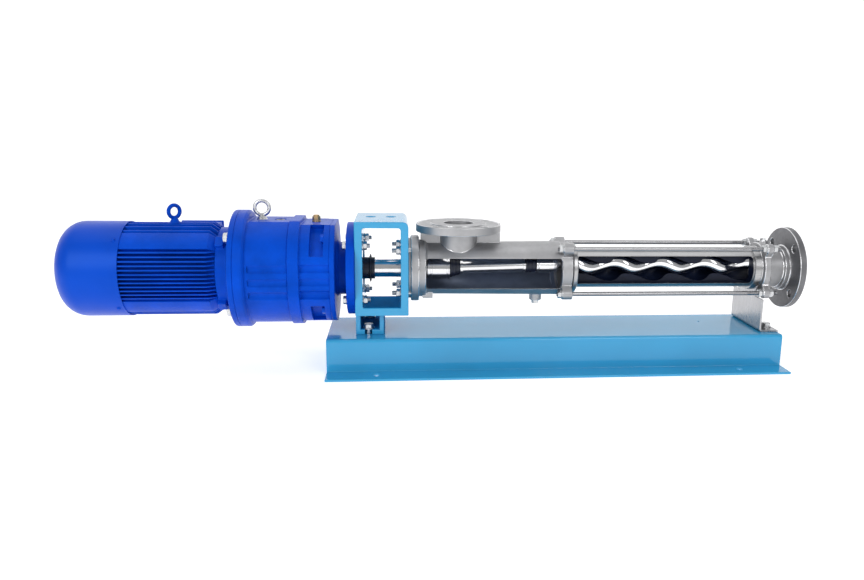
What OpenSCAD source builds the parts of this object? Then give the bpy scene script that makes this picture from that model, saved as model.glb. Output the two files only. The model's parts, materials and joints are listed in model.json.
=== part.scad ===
// Progressing cavity pump with an inline geared motor, shown as a cutaway on its base.
// The shaft runs along X. The origin is on the floor, in the middle of the base's bolt holes.

/* [Base and lantern] */
// Height of the shaft above the floor
axis_h = 210; // [200:1:240]
// Length of the base
base_l = 1005; // [990:1:1060]
// Width of the raised top of the base
base_top_w = 196; // [190:1:220]
// Height of the base
base_h = 75; // [60:1:85]
// Width over the two lips on the floor
base_w = 300; // [290:1:330]
// Sheet thickness of the base
base_t = 5; // [4:0.5:6]
// Diameter of the floor bolt holes
floor_hole_d = 14; // [12:0.5:16]
// Distance of the floor bolt holes from the ends of the base
floor_hole_end = 105; // [90:1:120]
// Distance from the left end of the base to the lantern
lantern_inset = 61; // [50:1:75]
// Length of the lantern
lantern_l = 112; // [108:1:130]
// Depth of the lantern from front to back
lantern_w = 165; // [160:1:175]
// Height of the lantern above the shaft
lantern_up = 111; // [106:1:120]
// Depth of the lantern's box below the shaft
lantern_down = 88; // [84:1:94]
// Wall of the lantern at both flanges
lantern_wall = 16; // [14:0.5:18]
// Depth of the lantern's foot from front to back
foot_w = 120; // [110:1:140]
// Length of the lantern's foot
foot_l = 60; // [56:1:70]

/* [Geared motor] */
// Length of the motor from its flange to the cowl
motor_l = 370; // [360:1:390]
// Diameter over the cooling fins
frame_d = 196; // [192:1:204]
// Outer diameter of the fan cowl
cowl_d = 200; // [197:0.5:206]
// Bore of the motor frame
frame_bore_d = 156; // [150:1:160]
// Inner diameter of the stator core
core_bore_d = 96; // [90:1:100]
// Air gap between the rotor core and the stator core
air_gap = 0.5; // [0.3:0.1:1]
// Diameter of the flange between motor and gearbox
motor_flange_d = 250; // [246:1:256]
// Bolt circle of the flange between motor and gearbox
motor_flange_pcd = 215; // [213:1:219]
// Length of the gearbox
gearbox_l = 240; // [236:1:260]
// Outer diameter of the gear case
case_d = 232; // [228:1:238]
// Height of the flat top of the gear case above the shaft
case_top = 106; // [104:0.5:109]
// Wall of the gear case
case_wall = 9; // [7:0.5:11]
// Diameter of the output flange
out_flange_d = 200; // [196:1:210]
// Bolt circle of the output flange
out_flange_pcd = 165; // [162:1:170]
// Module of the first gear pair
module_one = 2; // [1.9:0.05:2.05]
// Module of the second gear pair
module_two = 2.5; // [2.4:0.05:2.55]
// Clearance between meshing tooth flanks
tooth_play = 0.25; // [0.2:0.05:0.4]

/* [Pump] */
// Diameter of the drive shaft
shaft_d = 40; // [38:0.5:42]
// Outer diameter of the suction casing at its left end
barrel_d0 = 114; // [112:1:118]
// Outer diameter of the suction casing at its right end
barrel_d1 = 120; // [118:1:124]
// Wall of the suction casing
barrel_wall = 7; // [6:0.5:8]
// Length of the suction casing's barrel
barrel_l = 312; // [305:1:330]
// Height of the suction flange's face above the shaft
suction_up = 100.5; // [98:0.5:115]
// Distance from the casing's left end to the suction nozzle
nozzle_in = 86.5; // [84:0.5:95]
// Outer diameter of both pipe flanges
pipe_flange_d = 185; // [180:1:190]
// Bolt circle of both pipe flanges
pipe_flange_pcd = 145; // [143:1:148]
// Bolt holes of both pipe flanges
pipe_hole_d = 18; // [16:0.5:20]
// Thickness of both pipe flanges
pipe_flange_t = 18; // [16:0.5:20]
// Bore of both pipe connections
pipe_bore_d = 65; // [60:1:68]
// Diameter of the rotor's round section
rotor_d = 34; // [32:0.5:36]
// Eccentricity of the rotor
rotor_e = 7; // [6.5:0.1:7.5]
// Pitch of the rotor
rotor_pitch = 104; // [100:1:110]
// Length of the stator in rotor pitches
stator_turns = 4; // [3:1:5]
// Running clearance between rotor and rubber
rubber_gap = 0.35; // [0.3:0.05:0.5]
// Outer diameter of the stator tube
stator_d = 88.9; // [87:0.1:92]
// Wall of the stator tube
stator_wall = 3.2; // [2.5:0.1:4]
// Half height of the window cut in the stator
stator_window = 31; // [28:0.5:32]
// Distance of the cut in the rubber from the shaft's axis
rubber_cut = 13; // [12:0.5:15]
// Diameter of the coupling rod
rod_d = 28; // [26:0.5:30]
// Diameter of the tie rods
tie_d = 10; // [8:0.5:12]
// Distance of the tie rods from the axis, both ways
tie_off = 50; // [49:0.5:52]
// Clearance of parts that run or slide in each other
run_gap = 0.05; // [0.03:0.01:0.08]
// Clearance around screws and bolts
bolt_gap = 0.5; // [0.3:0.1:0.8]

/* [Hidden] */
$fn = 64;
tiny = 0.01;

// Places along X, worked out from the lantern towards both ends
lantern_x0 = -base_l / 2 + lantern_inset;
lantern_x1 = lantern_x0 + lantern_l;
gear_x1 = lantern_x0;
gear_x0 = gear_x1 - gearbox_l;
motor_x1 = gear_x0;
motor_x0 = motor_x1 - motor_l;
cover_step = 6;
cover_t = 23.5;
casing_x0 = lantern_x1 + cover_t;
casing_flange_t = 16;
casing_x1 = casing_x0 + barrel_l;
ear_t = 22;
stator_x0 = casing_x1 + ear_t + 2;
stator_l = stator_turns * rotor_pitch + 18;
stator_x1 = stator_x0 + stator_l;
nozzle_shoulder = 3;
clamp_x0 = stator_x1 + nozzle_shoulder;
clamp_t = 15;
discharge_x = stator_x1 + 85;
nozzle_x = casing_x0 + nozzle_in;

// Colours
blue_paint = "#1246b4";
sky_paint = "#3f9fd2";
steel = "#c3c7cb";
dark_steel = "#6c7277";
cast_steel = "#9a9da0";
bright = "#e2e5e8";
rubber = "#1b2230";
brass = "#b9975a";
copper = "#b0663a";

// Local Z runs along the shaft, local X to the back, local Y up
module along_x(x) translate([x, 0, axis_h]) rotate([90, 0, 90]) children();

// A turned part on the shaft's axis; the profile is a list of radius and place along X
module turned(profile) along_x(0) rotate_extrude($fn = 96) polygon(profile);

// A plain ring on the shaft's axis
module ring(x0, x1, r_out, r_in) {
    along_x(x0)
        difference() {
            cylinder(r = r_out, h = x1 - x0, $fn = 96);
            translate([0, 0, -1]) cylinder(r = r_in, h = x1 - x0 + 2, $fn = 96);
        }
}

// Copies at the four corners of a bolt circle, turned by 45 degrees
module four_corners(pcd, turn = 45) {
    for (k = [0:3])
        rotate([0, 0, turn + 90 * k])
            translate([pcd / 2, 0, 0])
                children();
}

// Hexagon across flats
module hexagon(flats, height) cylinder(d = flats / cos(30), h = height, $fn = 6);

// Hexagon head bolt with a washer, its head towards negative Z and its washer seated at z = 0
module hex_bolt(d, grip) {
    washer = 0.18 * d;
    translate([0, 0, -washer])
        cylinder(d = 2 * d, h = washer);
    translate([0, 0, -washer - 0.65 * d])
        hexagon(1.6 * d, 0.65 * d);
    translate([0, 0, -washer - tiny])
        cylinder(d = d, h = grip + washer);
}

// Hexagon nut on a washer, seated at z = 0 and facing positive Z, with a bore for its bolt
module hex_nut(d, bore_gap = 0.05) {
    washer = 0.18 * d;
    difference() {
        union() {
            cylinder(d = 2 * d, h = washer);
            translate([0, 0, washer - tiny]) hexagon(1.6 * d, 0.8 * d);
        }
        translate([0, 0, -1]) cylinder(d = d + 2 * bore_gap, h = 2 * d);
    }
}

// Ball bearing from x0 to x1: two rings with a groove, and balls between them
module ball_bearing(x0, x1, shaft_r, seat_r, balls = 9, off_z = 0) {
    mid = (shaft_r + seat_r) / 2;
    ball_r = (seat_r - shaft_r) * 0.29;
    land = (seat_r - shaft_r) * 0.32;
    groove_r = ball_r + 0.04;
    width = x1 - x0;
    along_x(x0)
        translate([0, off_z, 0]) {
            rotate_extrude($fn = 96)
                difference() {
                    translate([seat_r - land, 0]) square([land, width]);
                    translate([mid, width / 2]) circle(r = groove_r, $fn = 32);
                }
            rotate_extrude($fn = 96)
                difference() {
                    translate([shaft_r + run_gap, 0]) square([land - run_gap, width]);
                    translate([mid, width / 2]) circle(r = groove_r, $fn = 32);
                }
            for (k = [0:balls - 1])
                rotate([0, 0, 360 / balls * k])
                    translate([mid, 0, width / 2])
                        sphere(r = ball_r, $fn = 24);
        }
}

// Lifting eye: a ring on a collar, standing on z = 0, its ring turned about Z
module lifting_eye(outer, wire, turn) {
    rotate([0, 0, turn]) {
        translate([0, 0, outer / 2 + 5])
            rotate([90, 0, 0])
                rotate_extrude($fn = 48)
                    translate([(outer - wire) / 2, 0])
                        circle(d = wire, $fn = 32);
        difference() {
            cylinder(d1 = outer * 0.58, d2 = wire * 1.15, h = 5 + wire * 0.75);
            translate([0, 0, outer / 2 + 5])
                rotate([90, 0, 0])
                    cylinder(d = outer - 2 * wire, h = outer, center = true);
        }
    }
    translate([0, 0, -10])
        cylinder(d = wire, h = 12);
}

// Involute gear outline
pressure_angle = 20;
function involute_xy(base_r, t) =
    [base_r * (cos(t) + t * PI / 180 * sin(t)), base_r * (sin(t) - t * PI / 180 * cos(t))];
function involute_t(base_r, r) = sqrt(max(0, (r / base_r) * (r / base_r) - 1)) * 180 / PI;
function polar_angle(p) = atan2(p[1], p[0]);
function tooth_flank(m, z, r) =
    let (base_r = m * z / 2 * cos(pressure_angle))
    let (pitch_p = involute_xy(base_r, involute_t(base_r, m * z / 2)))
    let (p = involute_xy(base_r, involute_t(base_r, max(r, base_r))))
    let (half = 90 / z - tooth_play / (m * z) * 180 / PI)
    half + polar_angle(pitch_p) - polar_angle(p);
function tooth_points(m, z, k) =
    let (root = m * z / 2 - 1.25 * m)
    let (tip = m * z / 2 + m)
    let (start = max(root, m * z / 2 * cos(pressure_angle)))
    let (steps = [0, 0.3, 0.65, 1])
    let (radii = concat([root], [for (s = steps) start + s * (tip - start)]))
    let (a = 360 / z * k)
    concat(
        [for (r = radii) r * [cos(a - tooth_flank(m, z, r)), sin(a - tooth_flank(m, z, r))]],
        [for (i = [len(radii) - 1:-1:0])
            radii[i] * [cos(a + tooth_flank(m, z, radii[i])), sin(a + tooth_flank(m, z, radii[i]))]]);
module gear_outline(m, z, turn = 0) {
    rotate(turn)
        polygon([for (k = [0:z - 1]) each tooth_points(m, z, k)]);
}

// Gear pairs: the layshaft lies straight below the main shaft
pinion_one_z = 18;
gear_one_z = 42;
pinion_two_z = 16;
gear_two_z = 32;
centre_one = module_one * (pinion_one_z + gear_one_z) / 2;
lay_pinion_m = 2 * centre_one / (pinion_two_z + gear_two_z);
lay_z = -centre_one;
gear_one_w = 22;
gear_two_w = 30;

module fan_cowl() {
    color(blue_paint) {
        sheet = 2;
        corner = 45;
        bulge = 10;
        r = cowl_d / 2;
        face_r = r - corner;
        steps = 8;
        x_corner = motor_x0 + bulge + corner;
        x_open = motor_x1 - 227;
        bulge_r = (face_r * face_r + bulge * bulge) / (2 * bulge);
        outer = concat(
            [for (k = [0:steps]) let (q = face_r * k / steps)
                [q, motor_x0 + bulge_r - sqrt(bulge_r * bulge_r - q * q)]],
            [for (k = [1:steps]) let (a = 90 * k / steps)
                [face_r + corner * sin(a), x_corner - corner * cos(a)]],
            [[r, x_open]]);
        inner = concat(
            [[r - sheet, x_open]],
            [for (k = [steps:-1:1]) let (a = 90 * k / steps)
                [face_r + (corner - sheet) * sin(a), x_corner - (corner - sheet) * cos(a)]],
            [for (k = [steps:-1:0]) let (q = face_r * k / steps)
                [q, motor_x0 + sheet + bulge_r - sqrt(bulge_r * bulge_r - q * q)]]);
        slots = 16;
        slot_w = 5;
        difference() {
            turned(concat(outer, inner));
            along_x(motor_x0 - 1)
                for (k = [0:slots - 1])
                    rotate([0, 0, 360 / slots * k])
                        translate([22, -slot_w / 2, 0])
                            cube([face_r - 26, slot_w, bulge + 14]);
            for (k = [0:3])
                along_x(x_open - 12)
                    rotate([0, 0, 45 + 90 * k])
                        rotate([0, 90, 0])
                            cylinder(d = 5.4, h = r + 5);
        }
    }
}

module cowl_screws() {
    color(blue_paint)
        for (k = [0:3])
            along_x(motor_x1 - 239)
                rotate([0, 0, 45 + 90 * k])
                    rotate([0, 90, 0]) {
                        translate([0, 0, cowl_d / 2 - 12]) cylinder(d = 5, h = 12 + tiny);
                        translate([0, 0, cowl_d / 2]) cylinder(d1 = 9, d2 = 6, h = 3);
                    }
}

shaft_end_x = motor_x1 - 312;
module cooling_fan() {
    color("#3a3f45") {
        fan_x0 = shaft_end_x + 4;
        hub_l = 26;
        blades = 9;
        shaft_r = 10;
        ring(fan_x0, fan_x0 + hub_l, shaft_r + 8, shaft_r);
        ring(fan_x0 + hub_l - 5, fan_x0 + hub_l - 1, 78, shaft_r + 7);
        along_x(fan_x0 - 4)
            for (k = [0:blades - 1])
                rotate([0, 0, 360 / blades * k])
                    translate([30, -1.25, 0])
                        cube([46, 2.5, hub_l]);
    }
}

frame_x0 = motor_x1 - 236;
frame_x1 = motor_x1 - 41;
module fin_section() {
    fin = 3;
    root_r = frame_bore_d / 2 + 4;
    side_fins = 14;
    side_reach = 56;
    side_pitch = 2 * side_reach / (side_fins - 1);
    top_fins = 7;
    top_pitch = 15;
    pad_a0 = 34;
    pad_a1 = 58;
    circle(r = root_r, $fn = 96);
    intersection() {
        circle(d = frame_d, $fn = 96);
        union() {
            for (k = [0:side_fins - 1])
                translate([0, -side_reach + side_pitch * k])
                    square([frame_d, fin], center = true);
            for (k = [0:top_fins - 1])
                translate([(k - (top_fins - 1) / 2) * top_pitch, 0])
                    square([fin, frame_d], center = true);
            for (sx = [-1, 1], sy = [-1, 1])
                scale([sx, sy])
                    polygon([[0, 0], 140 * [cos(pad_a0), sin(pad_a0)], 140 * [cos(pad_a1), sin(pad_a1)]]);
        }
    }
}

module motor_frame() {
    color(blue_paint)
        difference() {
            union() {
                along_x(frame_x0) linear_extrude(frame_x1 - frame_x0) fin_section();
                along_x(motor_x1 - 163) linear_extrude(90)
                    translate([frame_bore_d / 2, -10])
                        square([frame_d / 2 - frame_bore_d / 2 + 6, 90]);
                translate([motor_x1 - 136, 0, axis_h + frame_bore_d / 2 + 2])
                    cylinder(d = 26, h = frame_d / 2 - frame_bore_d / 2 - 1);
            }
            along_x(frame_x0 - 1) cylinder(d = frame_bore_d, h = frame_x1 - frame_x0 + 2, $fn = 96);
            translate([motor_x1 - 136, 0, axis_h + frame_d / 2 - 14]) cylinder(d = 8.1, h = 20);
            along_x(frame_x0 - 1)
                for (k = [0:3])
                    rotate([0, 0, 45 + 90 * k])
                        translate([cowl_d / 2 - 16, -6, 0])
                            cube([20, 12, 9]);
            along_x(frame_x1 - 16)
                rotate_extrude($fn = 96)
                    polygon([[frame_d / 2 + 1, 0], [frame_d / 2 + 1, 17], [frame_d / 2 - 11, 17]]);
        }
}

module motor_rear_shield() {
    x1 = frame_x0;
    color(blue_paint)
        difference() {
            union() {
                turned([[34, x1 - 12], [80, x1 - 12], [80, x1], [frame_bore_d / 2 - 0.1, x1],
                        [frame_bore_d / 2 - 0.1, x1 + 6], [66, x1 + 6], [66, x1 - 4], [34, x1 - 4]]);
                turned([[14, x1 - 14], [34, x1 - 14], [34, x1 + 10], [26, x1 + 10], [26, x1 - 8], [14, x1 - 8]]);
                for (k = [0:3])
                    along_x(x1 - 12)
                        rotate([0, 0, 45 + 90 * k])
                            translate([74, -8, 0])
                                cube([cowl_d / 2 - 2.5 - 74, 16, 11.5]);
            }
            for (k = [0:3])
                along_x(motor_x1 - 239)
                    rotate([0, 0, 45 + 90 * k])
                        rotate([0, 90, 0])
                            translate([0, 0, cowl_d / 2 - 14])
                                cylinder(d = 5.4, h = 14);
        }
}

module motor_front_shield() {
    flange_t = 12;
    seat_r = 31;
    x0 = frame_x1;
    x2 = motor_x1 - flange_t;
    color(blue_paint)
        difference() {
            union() {
                turned([[24, x2 - 4], [46, x2 - 4], [84, x0], [88, x0], [88, x2 - 8], [94, x2],
                        [motor_flange_d / 2 - 2, x2], [motor_flange_d / 2, x2 + 2],
                        [motor_flange_d / 2, motor_x1], [24, motor_x1]]);
                turned([[seat_r, x0 + 2], [seat_r + 7, x0 + 2], [seat_r + 7, x2], [seat_r, x2]]);
                turned([[72, x0 - 5], [frame_bore_d / 2 - 0.1, x0 - 5], [frame_bore_d / 2 - 0.1, x0 + 1],
                        [86, x0 + 1], [86, x0 + 4], [72, x0 + 8]]);
                along_x(x0)
                    for (k = [0:3])
                        rotate([0, 0, 45 + 90 * k])
                            translate([70, -12, 0])
                                cube([frame_d / 2 - 70, 24, 17]);
            }
            along_x(x0 + 2) cylinder(r = seat_r, h = x2 - x0 - 6, $fn = 96);
            along_x(x2 - 5) cylinder(r = 24, h = flange_t + 10);
            along_x(x2 - 1) four_corners(motor_flange_pcd) cylinder(d = 12 + 2 * bolt_gap, h = flange_t + 2);
        }
}

core_x0 = motor_x1 - 206;
core_l = 110;
module stator_core() {
    slots = 24;
    color(dark_steel)
        along_x(core_x0)
            linear_extrude(core_l)
                difference() {
                    circle(d = frame_bore_d - 0.2, $fn = 96);
                    circle(d = core_bore_d, $fn = 96);
                    for (k = [0:slots - 1])
                        rotate(360 / slots * k)
                            translate([core_bore_d / 2 - 1, -2.6])
                                square([17, 5.2]);
                }
}

module stator_windings() {
    slots = 24;
    overhang = 24;
    sink = 3;
    inner_r = core_bore_d / 2 + 2.5;
    outer_r = frame_bore_d / 2 - 8;
    color(copper) {
        along_x(core_x0 - sink)
            for (k = [0:slots - 1])
                rotate([0, 0, 360 / slots * k])
                    translate([inner_r + 1.5, -2.3, 0])
                        cube([11.5, 4.6, core_l + 2 * sink]);
        for (x = [core_x0 - overhang, core_x0 + core_l + 0.2])
            turned([[inner_r, x + 2], [inner_r + 2, x], [outer_r - 3, x], [outer_r, x + 3],
                    [outer_r, x + overhang - 3.2], [outer_r - 3, x + overhang - 0.2],
                    [inner_r + 2, x + overhang - 0.2], [inner_r, x + overhang - 2.2]]);
    }
}

module rotor_core() {
    end_ring = 12;
    r = core_bore_d / 2 - air_gap;
    color(steel)
        difference() {
            union() {
                ring(core_x0, core_x0 + core_l, r, 22);
                ring(core_x0 - end_ring, core_x0 + tiny, r - 1, r - 14);
                ring(core_x0 + core_l - tiny, core_x0 + core_l + end_ring, r - 1, r - 14);
            }
            along_x(core_x0 - 1)
                for (k = [0:7])
                    rotate([0, 0, 45 * k])
                        translate([29, 0, 0])
                            cylinder(d = 7, h = core_l + 2);
        }
}

pinion_one_x = gear_x0 + 32;
module motor_shaft() {
    x_front = motor_x1 - 35;
    color(steel)
        turned([[0, shaft_end_x], [9, shaft_end_x], [10, shaft_end_x + 1], [10, shaft_end_x + 68],
                [12.5, shaft_end_x + 68], [12.5, frame_x0 + 9], [15, frame_x0 + 9], [22, frame_x0 + 16],
                [22, x_front - 26], [15, x_front - 14], [15, x_front + 22], [14, x_front + 22],
                [14, gear_x0 + 14], [12, gear_x0 + 14], [12, pinion_one_x + gear_one_w],
                [11, pinion_one_x + gear_one_w + 1], [0, pinion_one_x + gear_one_w + 1]]);
}

module motor_bearings() {
    color(bright) {
        ball_bearing(frame_x0 - 8, frame_x0 + 7, 12.5, 26, 8);
        ball_bearing(motor_x1 - 35, motor_x1 - 19, 15, 31, 9);
    }
}

box_l = 90;
box_h = 90;
box_d = 52;
box_x0 = motor_x1 - 163;
box_y0 = frame_d / 2 + 6;
module terminal_box() {
    wall = 4;
    color(blue_paint)
        translate([box_x0, box_y0, axis_h - 10])
            difference() {
                cube([box_l, box_d, box_h]);
                translate([wall, wall, wall]) cube([box_l - 2 * wall, box_d, box_h - 2 * wall]);
                translate([box_l / 2, box_d / 2 + 4, -1]) cylinder(d = 20, h = wall + 2);
                translate([box_l / 2, -1, box_h / 2]) rotate([-90, 0, 0]) cylinder(d = 26, h = wall + 2);
            }
}

module terminal_box_lid() {
    lid_t = 8;
    color(blue_paint)
        translate([box_x0 - 2, box_y0 + box_d, axis_h - 12]) {
            difference() {
                union() {
                    cube([box_l + 4, lid_t, box_h + 4]);
                    translate([8, -4, 8]) cube([box_l - 12, 5, box_h - 12]);
                }
                translate([12, -5, 12]) cube([box_l - 20, 9, box_h - 20]);
            }
            for (x = [8, box_l - 4], z = [8, box_h - 4])
                translate([x, lid_t - tiny, z])
                    rotate([-90, 0, 0])
                        cylinder(d = 8, h = 3);
        }
}

module cable_gland() {
    color(dark_steel)
        translate([box_x0 + box_l / 2, box_y0 + box_d / 2 + 4, axis_h - 10])
            difference() {
                union() {
                    translate([0, 0, -6]) hexagon(24, 6);
                    translate([0, 0, -20]) hexagon(22, 14 + tiny);
                    translate([0, 0, -24]) cylinder(d1 = 16, d2 = 21, h = 4 + tiny);
                    translate([0, 0, -tiny]) cylinder(d = 19.8, h = 8);
                    translate([0, 0, 4.1]) cylinder(d = 24, h = 4);
                }
                translate([0, 0, -25]) cylinder(d = 10, h = 2);
            }
}

module motor_eyebolt() {
    color(blue_paint)
        translate([motor_x1 - 136, 0, axis_h + frame_d / 2 + 1])
            lifting_eye(34, 8, 48);
}

module motor_flange_bolts() {
    bolt = 12;
    grip = 12 + 18;
    color(bright)
        along_x(motor_x1 - 12)
            four_corners(motor_flange_pcd)
                union() {
                    hex_bolt(bolt, grip);
                }
}

// Outline of the round gear case with its flat top
module case_outline(r, top) {
    intersection() {
        circle(r = r, $fn = 128);
        translate([-r, -r]) square([2 * r, r + top]);
    }
}

// Long soft grooves on both sides of the case
module side_grooves(x0, x1, r) {
    groove_r = 10.3;
    for (a = [9.5, -4.5, -18.5, 171, 185, 199])
        along_x(x0)
            rotate([0, 0, a])
                translate([r - 4.5 + groove_r, 0, 0])
                    cylinder(r = groove_r, h = x1 - x0);
}

split_x = gear_x0 + 106.5;
lay_rear_x = gear_x0 + 12;
lay_rear_seat = 23.5;
web_t = 18;
lay_front_seat = 26;
lay_front_x = gear_x0 + 176;
plate_x = gear_x1 - 50;
front_case_top = 101;
boss_pcd = case_d - 36;
// Corner recesses of the front case: angle, and both ends along the rim
corner_cuts = [[45, -44, 34], [135, -34, 44], [225, -22, 44], [315, -44, 22]];

module gear_case_rear() {
    flange_t = 22;
    floor_t = 9.5;
    color(blue_paint)
        difference() {
            union() {
                along_x(gear_x0) linear_extrude(split_x - gear_x0) case_outline(case_d / 2, case_top);
                turned([[30, gear_x0], [motor_flange_d / 2, gear_x0], [motor_flange_d / 2, gear_x0 + flange_t - 5],
                        [motor_flange_d / 2 - 5, gear_x0 + flange_t], [30, gear_x0 + flange_t]]);
            }
            difference() {
                along_x(gear_x0 + floor_t)
                    linear_extrude(split_x - gear_x0)
                        case_outline(case_d / 2 - case_wall, case_top - case_wall);
                along_x(split_x - 28) four_corners(boss_pcd) cylinder(d = 20, h = 30);
                along_x(gear_x0)
                    translate([0, lay_z, 0])
                        cylinder(r = lay_rear_seat + 6, h = lay_rear_x - gear_x0 + 14);
                along_x(gear_x0)
                    translate([0, case_top - case_wall - 14, 44]) rotate([-90, 0, 0]) cylinder(d = 24, h = 20);
                along_x(gear_x0)
                    translate([0, case_top - case_wall - 6, 82]) rotate([-90, 0, 0]) cylinder(d = 24, h = 12);
            }
            along_x(gear_x0 - 1) cylinder(r = 32, h = 30);
            along_x(lay_rear_x)
                translate([0, lay_z, 0])
                    cylinder(r = lay_rear_seat, h = 30);
            along_x(gear_x0 - 1) four_corners(motor_flange_pcd) cylinder(d = 12.1, h = 23 + tiny);
            along_x(split_x - 26) four_corners(boss_pcd) cylinder(d = 8.1, h = 30);
            translate([gear_x0 + 44, 0, axis_h + case_top - 18]) cylinder(d = 8.1, h = 30);
            translate([gear_x0 + 82, 0, axis_h + case_top - 18]) cylinder(d = 14.1, h = 30);
            translate([gear_x0 + 82, 0, axis_h + case_top - 4]) cylinder(d = 24, h = 10);
            side_grooves(gear_x0 + flange_t + 6, split_x + 1, case_d / 2);
        }
}

module gear_case_front() {
    band_x1 = split_x + 22.5;
    inner_r = case_d / 2 - case_wall - 4;
    breather_x = gear_x0 + 157;
    color(blue_paint)
        difference() {
            union() {
                along_x(split_x) linear_extrude(22.5) case_outline(case_d / 2 + 4, case_top + 3);
                along_x(band_x1 - tiny)
                    linear_extrude(plate_x - band_x1 + tiny)
                        intersection() {
                            case_outline(case_d / 2 - 2, front_case_top);
                            square([2 * case_d / 2 - 16, 300], center = true);
                        }
            }
            difference() {
                along_x(split_x + web_t)
                    linear_extrude(plate_x - split_x)
                        case_outline(inner_r - 4, front_case_top - case_wall);
                for (c = corner_cuts)
                    along_x(plate_x - 48)
                        rotate([0, 0, c[0]])
                            translate([inner_r - 16, c[1] - 8, 0])
                                cube([40, c[2] - c[1] + 16, 60]);
                along_x(gear_x0)
                    translate([0, front_case_top - case_wall - 6, breather_x - gear_x0])
                        rotate([-90, 0, 0])
                            cylinder(d = 26, h = 12);
            }
            along_x(split_x - 1) cylinder(r = 31, h = 17, $fn = 96);
            along_x(split_x - 1) cylinder(r = 27, h = 40);
            along_x(split_x - 1) translate([0, lay_z, 0]) cylinder(r = 19, h = 40);
            along_x(split_x - 1) four_corners(boss_pcd) cylinder(d = 8 + 2 * bolt_gap, h = web_t + 2);
            along_x(split_x + web_t) four_corners(boss_pcd) cylinder(d = 15, h = 9);
            along_x(plate_x - 40)
                for (c = corner_cuts)
                    rotate([0, 0, c[0]])
                        translate([inner_r - 8, c[1], 0])
                            cube([60, c[2] - c[1], 28]);
            along_x(plate_x - 30) four_corners(2 * (inner_r + 3)) cylinder(d = 10 + 2 * bolt_gap, h = 40);
            translate([breather_x, 0, axis_h + front_case_top - 20]) cylinder(d = 12.1, h = 30);
            side_grooves(band_x1, plate_x + 1, case_d / 2 - 7);
            for (s = [-1, 1])
                translate([(split_x + band_x1) / 2, s * (case_d / 2 + 6), axis_h - 150])
                    translate([-20, -7, 0])
                        cube([40, 14, 300]);
        }
}

neck_r = 57;
out_seat_r = 45;
module output_flange() {
    flange_t = 17.5;
    plate_t = 10;
    neck_x1 = gear_x1 - flange_t;
    color(blue_paint)
        difference() {
            union() {
                along_x(plate_x)
                    linear_extrude(plate_t)
                        intersection() {
                            case_outline(case_d / 2 - 2, front_case_top);
                            square([2 * case_d / 2 - 16, 300], center = true);
                        }
                turned([[0, plate_x], [neck_r + 6, plate_x + plate_t], [neck_r, plate_x + plate_t + 6],
                        [neck_r, neck_x1 - 3], [neck_r + 3, neck_x1], [out_flange_d / 2, neck_x1],
                        [out_flange_d / 2, gear_x1 - 1], [out_flange_d / 2 - 1, gear_x1],
                        [64.9, gear_x1], [64.9, gear_x1 + 3.5], [0, gear_x1 + 3.5]]);
                along_x(lay_front_x)
                    translate([0, lay_z, 0])
                        cylinder(r = lay_front_seat + 6, h = plate_x - lay_front_x + tiny);
            }
            along_x(lay_front_x - 1) translate([0, lay_z, 0]) cylinder(r = lay_front_seat, h = 16);
            along_x(plate_x - 1) cylinder(r = out_seat_r, h = 27, $fn = 96);
            along_x(plate_x + 20) cylinder(r = 36, h = 60);
            along_x(plate_x - 1)
                four_corners(2 * (case_d / 2 - case_wall - 1))
                    cylinder(d = 10.1, h = plate_t + 2);
            along_x(neck_x1 - 1) four_corners(out_flange_pcd) cylinder(d = 11, h = flange_t + 2);
        }
}

module motor_pinion() {
    color(steel)
        along_x(pinion_one_x)
            linear_extrude(gear_one_w)
                difference() {
                    gear_outline(module_one, pinion_one_z, 90);
                    circle(r = 12);
                }
}

module first_gear() {
    color(steel)
        along_x(pinion_one_x)
            translate([0, lay_z, 0])
                difference() {
                    linear_extrude(gear_one_w)
                        difference() {
                            gear_outline(module_one, gear_one_z, 90 + 180 / gear_one_z);
                            circle(r = 14);
                        }
                    for (z = [-1, gear_one_w - 5])
                        translate([0, 0, z])
                            difference() {
                                cylinder(r = 35, h = 6);
                                translate([0, 0, -1]) cylinder(r = 22, h = 8);
                            }
                }
}

pinion_two_x = gear_x0 + 134;
module layshaft() {
    color(steel) {
        along_x(0)
            translate([0, lay_z, 0])
                rotate_extrude()
                    polygon([[0, lay_rear_x], [10, lay_rear_x], [10, lay_rear_x + 16], [14, lay_rear_x + 16],
                             [14, pinion_one_x + gear_one_w], [16, pinion_one_x + gear_one_w],
                             [16, pinion_two_x + gear_two_w + 3], [12.5, pinion_two_x + gear_two_w + 5],
                             [12.5, lay_front_x + 14], [0, lay_front_x + 14]]);
        along_x(pinion_two_x)
            translate([0, lay_z, 0])
                linear_extrude(gear_two_w)
                    gear_outline(lay_pinion_m, pinion_two_z, 90);
    }
}

module output_gear() {
    color(steel)
        along_x(pinion_two_x + 1)
            difference() {
                linear_extrude(gear_two_w - 2)
                    difference() {
                        gear_outline(lay_pinion_m, gear_two_z, 90 + 180 / gear_two_z);
                        circle(r = 21);
                    }
                for (z = [-1, gear_two_w - 7])
                    translate([0, 0, z])
                        difference() {
                            cylinder(r = 34, h = 6);
                            translate([0, 0, -1]) cylinder(r = 27, h = 8);
                        }
            }
}

coupling_r = 14;
out_end_x = lantern_x0 + 46;
module output_shaft() {
    color(steel)
        turned([[0, split_x - 4], [15, split_x - 4], [15, split_x + 17], [21, split_x + 17],
                [21, pinion_two_x + gear_two_w - 1], [24, pinion_two_x + gear_two_w - 1],
                [24, plate_x - 2], [20, plate_x - 2], [20, gear_x1 - 2], [coupling_r, gear_x1 + 1],
                [coupling_r, out_end_x - 2], [coupling_r - 2, out_end_x], [0, out_end_x]]);
}

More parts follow.
